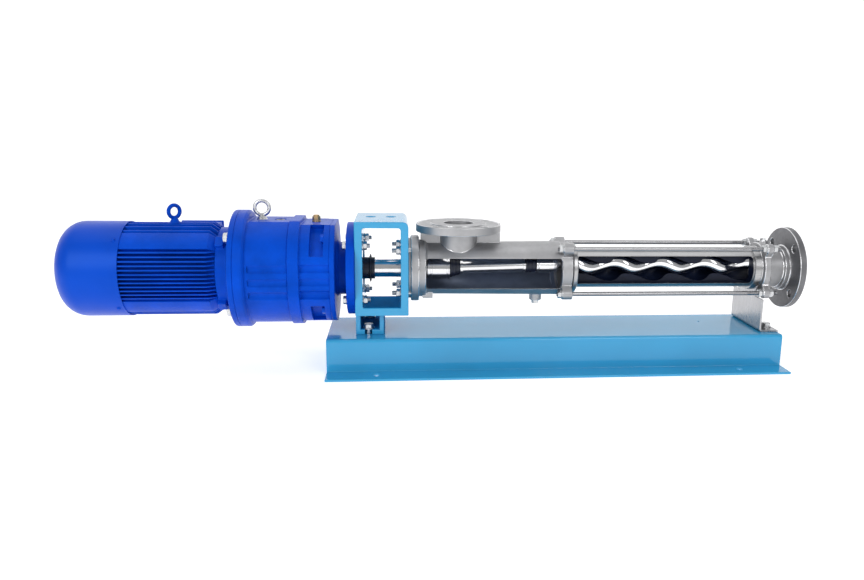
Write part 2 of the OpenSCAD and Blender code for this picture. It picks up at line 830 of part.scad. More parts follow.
module gearbox_bearings() {
    color(bright) {
        ball_bearing(split_x, split_x + 16, 15, 31, 9);
        ball_bearing(plate_x, plate_x + 20, 20, out_seat_r, 8);
        ball_bearing(lay_rear_x, lay_rear_x + 14, 10, lay_rear_seat, 8, lay_z);
        ball_bearing(lay_front_x, lay_front_x + 14, 12.5, lay_front_seat, 8, lay_z);
    }
}

module oil_seals() {
    color(rubber) {
        ring(gear_x1 - 12, gear_x1 - 2, 36, 20 + run_gap);
        ring(gear_x0, gear_x0 + 8, 32, 14 + run_gap);
    }
}

module gear_eyebolt() {
    color(steel)
        translate([gear_x0 + 44, 0, axis_h + case_top])
            lifting_eye(38, 8, 0);
}

module breather_plug() {
    color(brass)
        translate([gear_x0 + 157, 0, axis_h + front_case_top]) {
            translate([0, 0, -8]) cylinder(d = 12, h = 8 + tiny);
            cylinder(d = 18, h = 3);
            translate([0, 0, 3 - tiny]) hexagon(15, 9);
            translate([0, 0, 12 - 2 * tiny]) cylinder(d = 13, h = 3);
        }
}

module oil_plugs() {
    color(dark_steel)
        translate([gear_x0 + 82, 0, axis_h + case_top - 4])
            difference() {
                union() {
                    cylinder(d = 18, h = 3.5);
                    translate([0, 0, -8]) cylinder(d = 14, h = 8 + tiny);
                }
                translate([0, 0, 0.5]) hexagon(8, 5);
            }
}

module case_screws() {
    inner_r = case_d / 2 - case_wall - 4;
    color(bright) {
        along_x(split_x + web_t)
            four_corners(boss_pcd) {
                cylinder(d = 13, h = 8);
                translate([0, 0, -web_t - 20]) cylinder(d = 8, h = web_t + 20 + tiny);
            }
        along_x(plate_x - 12)
            four_corners(2 * (inner_r + 3)) {
                translate([0, 0, -6.5]) hexagon(16, 6.5);
                translate([0, 0, -tiny]) cylinder(d = 10, h = 12 + 9.8);
            }
    }
}

module output_flange_bolts() {
    grip = 17.5 + lantern_wall;
    color(bright) {
        along_x(gear_x1 - 17.5)
            four_corners(out_flange_pcd)
                hex_bolt(10, grip + 16);
        along_x(gear_x1 - 17.5 + grip)
            four_corners(out_flange_pcd)
                hex_nut(10);
    }
}

stud_off = 46;
foot_bolt_y = foot_w / 2 - 12;
foot_bolt_x = lantern_x0 + 26.5;
module lantern() {
    rail = 16;
    corner = 12;
    window_r = 6;
    foot_t = 11.5;
    web = 10;
    floor_z = base_h - axis_h;
    win_x0 = lantern_x0 + lantern_wall;
    win_x1 = lantern_x1 - lantern_wall;
    color(sky_paint)
        difference() {
            union() {
                translate([0, lantern_w / 2, axis_h])
                    rotate([90, 0, 0])
                        linear_extrude(lantern_w)
                            difference() {
                                union() {
                                    translate([lantern_x0, -lantern_down])
                                        square([lantern_l - corner, lantern_down + lantern_up]);
                                    translate([lantern_x0, -lantern_down])
                                        square([lantern_l, lantern_down + lantern_up - corner]);
                                    translate([lantern_x1 - corner, lantern_up - corner])
                                        circle(r = corner);
                                }
                                difference() {
                                    translate([win_x0, -lantern_down + 6])
                                        square([win_x1 - win_x0, lantern_down + lantern_up - 19]);
                                    for (x = [win_x0, win_x1 - window_r], s = [0, 1])
                                        translate([x, s == 0 ? -lantern_down + 6 : lantern_up - 13 - window_r])
                                            difference() {
                                                square(window_r);
                                                translate([x == win_x0 ? window_r : 0, s == 0 ? window_r : 0])
                                                    circle(r = window_r, $fn = 32);
                                            }
                                }
                            }
                // raised front edge of the drip tray
                translate([lantern_x0 + 1, -lantern_w / 2, axis_h - lantern_down + 1])
                    cube([lantern_l - 2, 9, rail]);
                // foot
                translate([lantern_x0, -foot_w / 2, base_h])
                    difference() {
                        cube([foot_l, foot_w, -floor_z - lantern_down + 1]);
                        translate([web, -1, foot_t])
                            cube([foot_l - 2 * web, foot_w + 2, -floor_z - lantern_down - foot_t]);
                    }
            }
            along_x(lantern_x0 - 1) cylinder(r = 65, h = 4.6 + tiny, $fn = 96);
            along_x(lantern_x0 - 1) cylinder(r = 50, h = lantern_wall + 2, $fn = 96);
            along_x(win_x1 - 1) cylinder(r = 34, h = lantern_wall + 2, $fn = 96);
            along_x(lantern_x0 - 1) four_corners(out_flange_pcd) cylinder(d = 11, h = lantern_wall + 2);
            along_x(win_x1 - 1)
                four_corners(2 * stud_off * sqrt(2))
                    cylinder(d = 10 + 2 * bolt_gap, h = lantern_wall + 2);
            for (x = [lantern_x0 + 32, lantern_x0 + 75.5])
                translate([x, 10, axis_h + lantern_up - 20])
                    cylinder(d = 20, h = 30);
            for (s = [-1, 1])
                translate([foot_bolt_x, s * foot_bolt_y, base_h - 1]) {
                    cylinder(d = 15, h = foot_t + 2);
                    translate([-7.5, s > 0 ? 0 : -20, 0]) cube([15, 20, foot_t + 2]);
                }
        }
}

module lantern_studs() {
    reach = 19;
    color(bright) {
        along_x(lantern_x1 - lantern_wall - reach)
            four_corners(2 * stud_off * sqrt(2))
                cylinder(d = 10, h = reach + lantern_wall + cover_step + 13);
        along_x(lantern_x1 - lantern_wall)
            rotate([0, 180, 0])
                four_corners(2 * stud_off * sqrt(2))
                    hex_nut(10);
    }
}

bracket_x = clamp_x0 - 10;
bracket_t = 4;
bracket_foot = 45;
bracket_bolt_x = bracket_x + 31;
module foot_bolts() {
    color(bright) {
        for (s = [-1, 1])
            translate([foot_bolt_x, s * foot_bolt_y, base_h + 11.5])
                rotate([180, 0, 0]) {
                    hex_bolt(12, 11.5 + base_t + 14);
                    translate([0, 0, 11.5 + base_t]) hex_nut(12);
                }
        for (s = [-1, 1])
            translate([bracket_bolt_x, s * 42, base_h + bracket_t])
                rotate([180, 0, 0]) {
                    hex_bolt(12, bracket_t + base_t + 14);
                    translate([0, 0, bracket_t + base_t]) hex_nut(12);
                }
    }
}

module base_frame() {
    bend = 7;
    lip = (base_w - base_top_w) / 2;
    color(sky_paint)
        difference() {
            translate([-base_l / 2, 0, 0])
                rotate([90, 0, 90])
                    linear_extrude(base_l)
                        union() {
                            for (s = [-1, 1])
                                scale([s, 1]) {
                                    translate([base_top_w / 2 - base_t, base_t])
                                        square([base_t, base_h - bend - base_t]);
                                    translate([base_top_w / 2 - base_t, 0])
                                        square([lip + base_t, base_t]);
                                    translate([base_top_w / 2 - bend, base_h - bend])
                                        difference() {
                                            intersection() {
                                                circle(r = bend);
                                                square(bend);
                                            }
                                            circle(r = bend - base_t);
                                        }
                                    translate([-tiny, base_h - base_t])
                                        square([base_top_w / 2 - bend + tiny, base_t]);
                                }
                        }
            for (sx = [-1, 1], sy = [-1, 1])
                translate([sx * (base_l / 2 - floor_hole_end), sy * (base_w / 2 - 28), -1])
                    cylinder(d = floor_hole_d, h = base_t + 2);
            for (s = [-1, 1]) {
                translate([foot_bolt_x, s * foot_bolt_y, base_h - base_t - 1])
                    cylinder(d = 12 + 2 * bolt_gap, h = base_t + 2);
                translate([bracket_bolt_x, s * 42, base_h - base_t - 1])
                    cylinder(d = 12 + 2 * bolt_gap, h = base_t + 2);
            }
            translate([bracket_x - 102, 26, base_h - base_t - 1]) cylinder(d = 6, h = base_t + 2);
        }
}

module support_bracket() {
    half_w = 75;
    cradle_w = 40;
    shoulder_z = axis_h - 60;
    cradle_z = axis_h - 36;
    bend = 8;
    color(steel)
        difference() {
            union() {
                translate([bracket_x, -half_w, base_h + bend])
                    cube([bracket_t, 2 * half_w, shoulder_z - base_h - bend]);
                translate([bracket_x, -cradle_w, base_h + bend])
                    cube([bracket_t, 2 * cradle_w, cradle_z - base_h - bend]);
                translate([bracket_x + bend, -half_w, base_h]) cube([bracket_foot - bend, 2 * half_w, bracket_t]);
                translate([bracket_x + bend, half_w, base_h + bend])
                    rotate([90, 0, 0])
                        linear_extrude(2 * half_w)
                            difference() {
                                intersection() {
                                    circle(r = bend);
                                    translate([-bend, -bend]) square(bend + tiny);
                                }
                                circle(r = bend - bracket_t);
                            }
            }
            along_x(bracket_x - 1) cylinder(r = collar_r + run_gap, h = bracket_t + 2, $fn = 96);
            for (s = [-1, 1])
                translate([bracket_bolt_x, s * 42, base_h - 1]) cylinder(d = 12 + 2 * bolt_gap, h = bracket_t + 2);
        }
}

// Joint centres of the coupling rod, and how it leans at rest
joint_one_x = casing_x0 + 42;
joint_two_x = casing_x1 - 30;
head_one_r = 24.5;
head_two_r = 18;
rod_l = sqrt(pow(joint_two_x - joint_one_x, 2) + rotor_e * rotor_e);
rod_lean = asin(rotor_e / rod_l);
module on_rod(s) {
    translate([joint_one_x, 0, axis_h])
        rotate([0, -rod_lean, 0])
            translate([s, 0, 0])
                rotate([90, 0, 90])
                    children();
}
module on_rotor(x) translate([0, 0, rotor_e]) along_x(x) children();

hub_x0 = lantern_x0 + 6;
head_x0 = casing_x0 + 17;
head_x1 = joint_one_x + 25;
module drive_shaft() {
    color(bright)
        difference() {
            turned([[0, hub_x0], [shaft_d / 2, hub_x0], [shaft_d / 2, lantern_x1 + 8], [shaft_d / 2 - 1, lantern_x1 + 9],
                    [shaft_d / 2 - 1, casing_x0 + 13], [16, casing_x0 + 13], [16, head_x0 + 9], [0, head_x0 + 9]]);
            along_x(hub_x0 - 1) cylinder(r = coupling_r, h = out_end_x - hub_x0 + 3);
            along_x(hub_x0 - 1)
                for (a = [0, 90])
                    rotate([0, 0, a])
                        translate([-shaft_d, -1, 0])
                            cube([2 * shaft_d, 2, 22]);
        }
}

module shaft_collar() {
    color(rubber)
        ring(lantern_x0 + 10.5, lantern_x0 + 40, shaft_d / 2 + 3.5, shaft_d / 2);
}

module flinger_ring() {
    color(rubber)
        turned([[shaft_d / 2 + 3.5, lantern_x0 + 28.5], [shaft_d / 2 + 6, lantern_x0 + 28.5],
                [shaft_d / 2 + 10.5, lantern_x0 + 30], [shaft_d / 2 + 10.5, lantern_x0 + 31.5],
                [shaft_d / 2 + 6, lantern_x0 + 33], [shaft_d / 2 + 3.5, lantern_x0 + 33]]);
}

hub_r = 38;
module seal_cover() {
    color(cast_steel)
        difference() {
            turned([[22, lantern_x1 - 9], [33.5, lantern_x1 - 9], [33.5, lantern_x1], [65, lantern_x1],
                    [66, lantern_x1 + 1], [66, lantern_x1 + cover_step], [hub_r, lantern_x1 + cover_step],
                    [hub_r, casing_x0 - 2], [22, casing_x0 - 2]]);
            along_x(lantern_x1 + 9) cylinder(r = 31, h = cover_t, $fn = 96);
            along_x(lantern_x1 - 1) four_corners(2 * stud_off * sqrt(2)) cylinder(d = 10.1, h = cover_t + 2);
        }
}

module seal_seat() {
    color("#8c8f92")
        ring(lantern_x1 + 9, lantern_x1 + 17.9, 31, shaft_d / 2 + 1);
}

module seal_ring() {
    color(dark_steel) {
        ring(lantern_x1 + 18, lantern_x1 + 25, 29, shaft_d / 2 - 1);
        ring(lantern_x1 + 25 - tiny, casing_x0 + 10, 27, shaft_d / 2 - 1);
    }
}

// Ring with four ears for the tie rods
module ear_ring(t, r, bore_r) {
    ear_r = 12;
    reach = tie_off * sqrt(2);
    difference() {
        union() {
            cylinder(r = r, h = t, $fn = 96);
            for (k = [0:3])
                rotate([0, 0, 45 + 90 * k]) {
                    translate([reach, 0, 0]) cylinder(r = ear_r, h = t);
                    translate([bore_r + 4, -ear_r, 0]) cube([reach - bore_r - 4, 2 * ear_r, t]);
                }
        }
        translate([0, 0, -1]) cylinder(r = bore_r, h = t + 2, $fn = 96);
        for (k = [0:3])
            rotate([0, 0, 45 + 90 * k])
                translate([reach, 0, -1])
                    cylinder(d = tie_d + 2 * bolt_gap, h = t + 2);
    }
}

module flange_face(t, rim_lip) {
    raised_d = 122;
    step = 3;
    translate([0, 0, -t]) cylinder(d = pipe_flange_d, h = t - step, $fn = 96);
    translate([0, 0, -step - tiny]) cylinder(d = raised_d, h = step + tiny, $fn = 96);
    if (rim_lip)
        translate([0, 0, -step - tiny])
            difference() {
                cylinder(d = pipe_flange_d, h = 1.5, $fn = 96);
                translate([0, 0, -1]) cylinder(d = pipe_flange_d - 7, h = 4, $fn = 96);
            }
}

neck_d = 83;
module suction_casing() {
    flange_x0 = lantern_x1 + cover_step;
    inner0 = barrel_d0 / 2 - barrel_wall;
    inner1 = barrel_d1 / 2 - barrel_wall;
    barrel_x0 = casing_x0 + casing_flange_t;
    window_up = 29;
    window_down = 39;
    window_x0 = barrel_x0 - 0.8;
    window_x1 = casing_x1 - 1.2;
    window_r = 6;
    end_r = stator_d / 2 - stator_wall + 3;
    color(cast_steel)
        difference() {
            union() {
                turned([[0, flange_x0], [71, flange_x0], [72, flange_x0 + 1], [72, casing_x0 - 1.5],
                        [70.5, casing_x0], [63, casing_x0], [63, barrel_x0 - 3], [barrel_d0 / 2 + 2, barrel_x0],
                        [barrel_d0 / 2, barrel_x0 + 4], [barrel_d1 / 2, casing_x1], [0, casing_x1]]);
                along_x(casing_x1 - tiny) ear_ring(ear_t + tiny, 58, 44);
                translate([nozzle_x, 0, axis_h + suction_up]) flange_face(pipe_flange_t, true);
                translate([nozzle_x, 0, axis_h])
                    rotate_extrude($fn = 96)
                        polygon([[0, 20], [neck_d / 2, 20], [neck_d / 2, suction_up - pipe_flange_t - 4],
                                 [neck_d / 2 + 4, suction_up - pipe_flange_t + 1], [0, suction_up - pipe_flange_t + 1]]);
                for (g = [[nozzle_in - 1, -1], [92, 1]])
                    translate([g[1] < 0 ? nozzle_x - g[0] + 3 : nozzle_x, -8, axis_h + 40])
                        cube([g[0], 16, suction_up - pipe_flange_t - 39]);
                // foot pad of the drain boss
                translate([casing_x1 - 50, 0, axis_h - 72]) cylinder(d = 28, h = 24);
                // lug at the lower left
                translate([casing_x0 + 8, -30, axis_h - 62]) cube([22, 24, 20]);
            }
            // inside of the barrel
            turned([[0, barrel_x0 - 2], [inner0 - 4, barrel_x0 - 2], [inner0, barrel_x0 + 4], [inner1, casing_x1 - 8],
                    [end_r, casing_x1 + 4], [end_r, casing_x1 + ear_t + 1], [0, casing_x1 + ear_t + 1]]);
            along_x(flange_x0 - 1) cylinder(r = hub_r + run_gap, h = barrel_x0 - flange_x0 + 2, $fn = 96);
            along_x(flange_x0 - 1) four_corners(2 * stud_off * sqrt(2)) cylinder(d = 10.1, h = 15.5);
            // suction passage
            translate([nozzle_x, 0, axis_h + 10]) cylinder(d = pipe_bore_d, h = suction_up, $fn = 96);
            translate([nozzle_x, 0, axis_h + suction_up - pipe_flange_t - 1])
                four_corners(pipe_flange_pcd)
                    cylinder(d = pipe_hole_d, h = pipe_flange_t + 2);
            // cutaway window in the front
            translate([0, 0, axis_h])
                rotate([90, 0, 0])
                    linear_extrude(barrel_d1)
                        window_outline(window_x0, window_x1, -window_down, window_up, window_r);
            translate([casing_x1 - 50, 0, axis_h - 73]) cylinder(d = 13.1, h = 60);
        }
}

module window_outline(x0, x1, z0, z1, r) {
    union() {
        translate([x0 + r, z0]) square([x1 - x0 - 2 * r, z1 - z0]);
        translate([x0, z0 + r]) square([x1 - x0, z1 - z0 - 2 * r]);
        for (x = [x0 + r, x1 - r], z = [z0 + r, z1 - r])
            translate([x, z]) circle(r = r, $fn = 32);
    }
}

vent_x = clamp_x0 + clamp_t + 11;
module pipe_plugs() {
    color(bright) {
        translate([casing_x1 - 50, 0, axis_h - 72])
            rotate([180, 0, 0]) {
                translate([0, 0, -9]) cylinder(d = 13, h = 9 + tiny);
                cylinder(d = 19, h = 2.5);
                translate([0, 0, 2.5 - tiny]) hexagon(14, 6.5);
            }
        along_x(vent_x)
            rotate([-90, 0, -20])
                translate([0, 0, 60]) {
                    translate([0, 0, -9]) cylinder(d = 10, h = 9 + tiny);
                    cylinder(d = 17, h = 2);
                    translate([0, 0, 2 - tiny]) hexagon(13, 7);
                }
    }
}

module drive_joint_head() {
    color(bright)
        difference() {
            turned([[16, head_x0], [head_one_r - 2, head_x0], [head_one_r, head_x0 + 2],
                    [head_one_r, head_x0 + 8], [head_one_r - 1, head_x0 + 9], [head_one_r - 1, head_x0 + 11],
                    [head_one_r, head_x0 + 12], [head_one_r, head_x1 - 7], [head_one_r - 1, head_x1 - 6],
                    [head_one_r - 1, head_x1 - 4], [head_one_r, head_x1 - 3], [head_one_r, head_x1],
                    [17.5, head_x1], [17.5, head_x0 + 9], [16, head_x0 + 9]]);
            along_x(joint_one_x) rotate([90, 0, 0]) cylinder(d = 10, h = 2 * head_one_r + 2, center = true);
        }
}

module drive_joint_pin() {
    color(steel)
        along_x(joint_one_x)
            rotate([90, 0, 0])
                cylinder(d = 10, h = 2 * head_one_r - 5, center = true);
}

boot_l = 24;
module boot_between(x0, r0, x1, r1, z1) {
    hull() {
        along_x(x0) cylinder(r = r0, h = 1, $fn = 40);
        translate([0, 0, z1]) along_x(x1 - 1) cylinder(r = r1, h = 1, $fn = 40);
    }
}

boot_one_x1 = head_x1 + boot_l;
boot_two_x0 = joint_two_x - 21 - boot_l;
clamp_w = 5;
function lean_z(x) = (x - joint_one_x) * tan(rod_lean);
module drive_boot() {
    color(rubber)
        difference() {
            boot_between(head_x1 + 0.4, head_one_r - 3, boot_one_x1, rod_d / 2 + 3, lean_z(boot_one_x1));
            on_rod(0) cylinder(r = rod_d / 2 + 0.3, h = 80);
        }
}

module rotor_boot() {
    color(rubber)
        difference() {
            boot_between(boot_two_x0, rod_d / 2 + 3, joint_two_x - 21.4, head_two_r - 1, rotor_e);
            on_rod(rod_l - 80) cylinder(r = rod_d / 2 + 0.3, h = 80);
        }
}

module boot_clamps() {
    color(bright) {
        for (s = [boot_one_x1 - joint_one_x + 0.8, boot_two_x0 - joint_one_x - clamp_w - 0.8])
            on_rod(s)
                difference() {
                    cylinder(r = rod_d / 2 + 2.5, h = clamp_w);
                    translate([0, 0, -1]) cylinder(r = rod_d / 2 + 0.3, h = clamp_w + 2);
                }
    }
}

eye_r = 11;
module coupling_rod() {
    color(bright)
        difference() {
            on_rod(0)
                rotate_extrude()
                    polygon([[0, -9], [10, -9], [eye_r, -8], [eye_r, 18], [rod_d / 2, 24], [rod_d / 2, rod_l - 30],
                             [eye_r, rod_l - 24], [eye_r, rod_l + 8], [10, rod_l + 9], [0, rod_l + 9]]);
            on_rod(0) rotate([90, 0, 0]) cylinder(d = 11.8, h = 40, center = true);
            on_rod(rod_l) rotate([90, 0, 0]) cylinder(d = 11.8, h = 40, center = true);
        }
}

rotor_neck_r = 11;
module rotor_joint_head() {
    x0 = joint_two_x - 21;
    x1 = joint_two_x + 27;
    color(bright)
        difference() {
            translate([0, 0, rotor_e])
                turned([[14.5, x0], [head_two_r, x0], [head_two_r, x0 + 3], [head_two_r - 0.8, x0 + 4],
                        [head_two_r - 0.8, x0 + 5.5], [head_two_r, x0 + 6.5], [head_two_r, x1 - 8],
                        [head_two_r - 0.8, x1 - 7], [head_two_r - 0.8, x1 - 5.5], [head_two_r, x1 - 4.5],
                        [head_two_r, x1 - 1], [head_two_r - 1, x1], [rotor_neck_r, x1], [rotor_neck_r, x1 - 14],
                        [14.5, x1 - 14]]);
            on_rotor(joint_two_x) rotate([90, 0, 0]) cylinder(d = 10, h = 2 * head_two_r + 2, center = true);
        }
}

module rotor_joint_pin() {
    color(steel)
        on_rotor(joint_two_x)
            rotate([90, 0, 0])
                cylinder(d = 10, h = 2 * head_two_r - 3, center = true);
}

// The rotor's section is lifted straight up, at the top of its slot, at phase_x and every pitch from it
phase_x = casing_x1 + 129.5;
rotor_x0 = stator_x0 - 6;
rotor_x1 = stator_x1 - 9;
slices_per_pitch = 20;
module rotor() {
    turn = 360 * (rotor_x1 - rotor_x0) / rotor_pitch;
    start = 90 + 360 * (rotor_x0 - phase_x) / rotor_pitch;
    slices = round(slices_per_pitch * (rotor_x1 - rotor_x0) / rotor_pitch);
    color(bright)
        on_rotor(0) {
            translate([0, 0, rotor_x0])
                rotate([0, 0, start])
                    linear_extrude(rotor_x1 - rotor_x0, twist = -turn, slices = slices)
                        translate([rotor_e, 0])
                            circle(d = rotor_d, $fn = 36);
            rotate_extrude()
                polygon([[0, joint_two_x + 13.2], [rotor_neck_r, joint_two_x + 13.2], [rotor_neck_r, rotor_x0 - 8],
                         [rotor_d / 2 - rotor_e, rotor_x0 + 2], [0, rotor_x0 + 2]]);
        }
}

collar_r = 50;
module stator_tube() {
    tube_r = stator_d / 2;
    end_cut = 13;
    color(steel)
        difference() {
            union() {
                turned([[tube_r - stator_wall, stator_x0], [54, stator_x0], [56, stator_x0 + 2], [56, stator_x0 + 9],
                        [54, stator_x0 + 11], [tube_r, stator_x0 + 11], [tube_r, stator_x1 - 16],
                        [collar_r - 1, stator_x1 - 16], [collar_r, stator_x1 - 15], [collar_r, stator_x1 - 1],
                        [collar_r - 1, stator_x1], [tube_r - stator_wall, stator_x1]]);
            }
            stator_window_cut(end_cut);
        }
}

module stator_window_cut(end_cut) {
    translate([0, -rubber_cut, axis_h])
        rotate([90, 0, 0])
            linear_extrude(60)
                window_outline(stator_x0 + end_cut, stator_x1 - end_cut - 5, -stator_window, stator_window, 5);
}

module stator_rubber() {
    start = 90 + 180 * (stator_x0 - 1 - phase_x) / rotor_pitch;
    span = stator_l + 2;
    slices = round(15 * span / rotor_pitch);
    slot_r = rotor_d / 2 + rubber_gap;
    color(rubber)
        difference() {
            ring(stator_x0, stator_x1, stator_d / 2 - stator_wall, 8);
            along_x(stator_x0 - 1)
                linear_extrude(span, twist = -180 * span / rotor_pitch, slices = slices)
                    rotate(start)
                        slot_outline(slot_r);
            stator_window_cut(13);
        }
}

module slot_outline(r) {
    square([4 * rotor_e, 2 * r], center = true);
    for (s = [-1, 1])
        translate([s * 2 * rotor_e, 0])
            circle(r = r, $fn = 36);
}

module clamp_ring() {
    color(cast_steel)
        along_x(clamp_x0) ear_ring(clamp_t, 58, 44.5);
}

rod_x0 = casing_x1 - 12;
rod_x1 = clamp_x0 + clamp_t + 20;
module tie_rods() {
    color(bright)
        along_x(rod_x0)
            for (sx = [-1, 1], sy = [-1, 1])
                translate([sx * tie_off, sy * tie_off, 0])
                    cylinder(d = tie_d, h = rod_x1 - rod_x0);
}

module tie_rod_nuts() {
    color(bright)
        for (sx = [-1, 1], sy = [-1, 1]) {
            along_x(clamp_x0 + clamp_t)
                translate([sx * tie_off, sy * tie_off, 0])
                    hex_nut(tie_d);
            along_x(casing_x1 - tiny)
                translate([sx * tie_off, sy * tie_off, 0])
                    rotate([0, 180, 0])
                        hex_nut(tie_d);
            along_x(clamp_x0)
                translate([sx * tie_off, sy * tie_off, 0])
                    rotate([0, 180, 0])
                        hex_nut(tie_d);
        }
}

module discharge_nozzle() {
    neck_r0 = 44;
    flange_x0 = discharge_x - pipe_flange_t;
    bore_r = pipe_bore_d / 2;
    inlet_r = 40;
    color(cast_steel)
        difference() {
            union() {
                turned([[0, stator_x1], [collar_r, stator_x1], [collar_r, clamp_x0], [neck_r0, clamp_x0],
                        [neck_r0, flange_x0 - 14], [collar_r, flange_x0 - 12], [collar_r, flange_x0 - 2],
                        [collar_r + 2, flange_x0 + 1], [0, flange_x0 + 1]]);
                along_x(discharge_x) flange_face(pipe_flange_t, false);
                along_x(vent_x) rotate([-90, 0, -20]) cylinder(d = 20, h = 60);
            }
            turned([[0, stator_x1 - 1], [inlet_r, stator_x1 - 1], [inlet_r, stator_x1 + 12], [bore_r, stator_x1 + 40],
                    [bore_r, discharge_x + 1], [0, discharge_x + 1]]);
            along_x(flange_x0 - 1) four_corners(pipe_flange_pcd) cylinder(d = pipe_hole_d, h = pipe_flange_t + 2);
            along_x(vent_x) rotate([-90, 0, -20]) cylinder(d = 10.1, h = 70);
        }
}

fan_cowl();
cowl_screws();
cooling_fan();
motor_frame();
motor_rear_shield();
motor_front_shield();
stator_core();
stator_windings();
rotor_core();
motor_shaft();
motor_bearings();
terminal_box();
terminal_box_lid();
cable_gland();
motor_eyebolt();
motor_flange_bolts();
gear_case_rear();
gear_case_front();
output_flange();
motor_pinion();
first_gear();
layshaft();
output_gear();
output_shaft();
gearbox_bearings();
oil_seals();
gear_eyebolt();
breather_plug();
oil_plugs();
case_screws();
output_flange_bolts();
lantern();
lantern_studs();
foot_bolts();
base_frame();
support_bracket();
drive_shaft();
shaft_collar();
flinger_ring();
seal_cover();
seal_seat();
seal_ring();
suction_casing();
pipe_plugs();
drive_joint_head();
drive_joint_pin();
drive_boot();
coupling_rod();
rotor_boot();
boot_clamps();
rotor_joint_head();
rotor_joint_pin();
rotor();
stator_tube();
stator_rubber();
clamp_ring();
tie_rods();
tie_rod_nuts();
discharge_nozzle();
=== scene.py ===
import json
import math
from contextlib import contextmanager

import bmesh
import bpy
from bpy.props import FloatProperty, FloatVectorProperty, PointerProperty
from mathutils import Matrix, Vector


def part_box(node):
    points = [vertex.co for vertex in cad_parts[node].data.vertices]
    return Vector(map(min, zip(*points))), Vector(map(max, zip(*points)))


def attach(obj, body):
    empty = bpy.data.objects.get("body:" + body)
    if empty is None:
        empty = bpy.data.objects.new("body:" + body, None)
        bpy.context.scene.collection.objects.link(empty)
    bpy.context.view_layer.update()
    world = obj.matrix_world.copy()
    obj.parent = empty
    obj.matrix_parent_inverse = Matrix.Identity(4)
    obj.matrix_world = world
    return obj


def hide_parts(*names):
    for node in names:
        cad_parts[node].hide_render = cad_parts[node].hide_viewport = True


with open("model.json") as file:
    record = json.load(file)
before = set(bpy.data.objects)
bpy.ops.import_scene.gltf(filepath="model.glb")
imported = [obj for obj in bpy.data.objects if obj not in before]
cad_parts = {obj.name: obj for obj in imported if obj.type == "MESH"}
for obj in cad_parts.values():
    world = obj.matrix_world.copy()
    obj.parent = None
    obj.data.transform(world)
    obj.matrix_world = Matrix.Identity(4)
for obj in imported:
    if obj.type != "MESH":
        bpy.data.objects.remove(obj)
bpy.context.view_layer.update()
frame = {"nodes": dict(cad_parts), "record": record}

bl_info = {
    "name": "Progressing Cavity Pump",
    "version": (1, 0, 0),
    "blender": (4, 5, 0),
    "location": "3D View > Sidebar > Pump",
    "description": "Finishes the packed pump part by part and sets up its studio",
    "category": "Object",
}

NODES = frame["nodes"]
SLOT_OF_NODE = {entry["node"]: entry["material_slot"] for entry in frame["record"]["subparts"]}
BODIES = frame["record"]["behaviour"]["bodies"]
BODY_OF_NODE = {node: body for body, nodes in BODIES.items() for node in nodes}


# Sizes and colours

def metres(name, default, description):
    return FloatProperty(name=name, default=default, description=description, unit="LENGTH")


def tint(name, default, description):
    return FloatVectorProperty(name=name, default=default, description=description, subtype="COLOR", size=3)


class PumpSizes(bpy.types.PropertyGroup):
    """Sizes that the finishing operators use"""

    shaft_height: metres("Shaft height", 0.210, "Height of the shaft above the floor")
    rotor_pitch: metres("Rotor pitch", 0.104, "Length of one turn of the rotor's screw")
    rotor_offset: metres("Rotor eccentricity", 0.007, "Distance of the rotor's section from its axis")
    rotor_radius: metres("Rotor radius", 0.017, "Radius of the rotor's round section")
    rotor_phase: metres("Rotor phase", 0.1355, "Place along the shaft where the section is at the top")
    rotor_start: metres("Rotor start", 0.024, "Where the screw begins along the shaft")
    rotor_end: metres("Rotor end", 0.455, "Where the screw ends along the shaft")
    casting_edge: metres("Casting edge", 0.0016, "Rounding of the cast edges")
    machined_edge: metres("Machined edge", 0.0004, "Chamfer of the turned and milled edges")
    thread_depth: metres("Thread depth", 0.0008, "Depth of the screw threads")
    thread_pitch: metres("Thread pitch", 0.0015, "Distance between two turns of a thread")


class PumpColours(bpy.types.PropertyGroup):
    """Colours of the finishes"""

    gear_blue: tint("Motor and gearbox paint", (0.001, 0.058, 0.50), "Strong blue of the geared motor")
    sky_blue: tint("Base and lantern paint", (0.036, 0.33, 0.60), "Light blue of the base")
    casting: tint("Stainless casting", (0.43, 0.43, 0.44), "Blasted stainless steel")
    dark_rubber: tint("Rubber", (0.004, 0.007, 0.020), "Black rubber with a blue tinge")


def sizes():
    return bpy.context.scene.pump_sizes


def colours():
    return bpy.context.scene.pump_colours


# Node helpers

class TreeMaker:
    """Adds nodes to a tree and feeds their inputs"""

    def feed(self, plug, value):
        """Links a field or a socket to an input, or sets the input to a plain value"""
        if isinstance(value, Field):
            value = value.socket
        if isinstance(value, bpy.types.NodeSocket):
            self.tree.links.new(value, plug)
        else:
            plug.default_value = value

    def add(self, kind, inputs=None, **settings):
        """A new node with its settings made and its inputs fed"""
        node = self.tree.nodes.new(kind)
        for key, value in settings.items():
            setattr(node, key, value)
        for key, value in (inputs or {}).items():
            self.feed(node.inputs[key], value)
        return node


class Field:
    """A socket of a tree that is reckoned with as a number is"""

    def __init__(self, maker, socket):
        self.maker = maker
        self.socket = socket

    def math(self, operation, other=None):
        inputs = {0: self} if other is None else {0: self, 1: other}
        node = self.maker.add("ShaderNodeMath", inputs, operation=operation)
        return Field(self.maker, node.outputs[0])

    def __add__(self, other):
        return self.math("ADD", other)

    def __sub__(self, other):
        return self.math("SUBTRACT", other)

    def __mul__(self, other):
        return self.math("MULTIPLY", other)

    def __truediv__(self, other):
        return self.math("DIVIDE", other)

    def __mod__(self, other):
        return self.math("MODULO", other)

    def cos(self):
        return self.math("COSINE")

    def sin(self):
        return self.math("SINE")


# The band in which nearly all of a noise lies, and a wider one for a weaker contrast
NOISE_BAND = (0.3, 0.7)
WIDE_BAND = (0.25, 0.75)
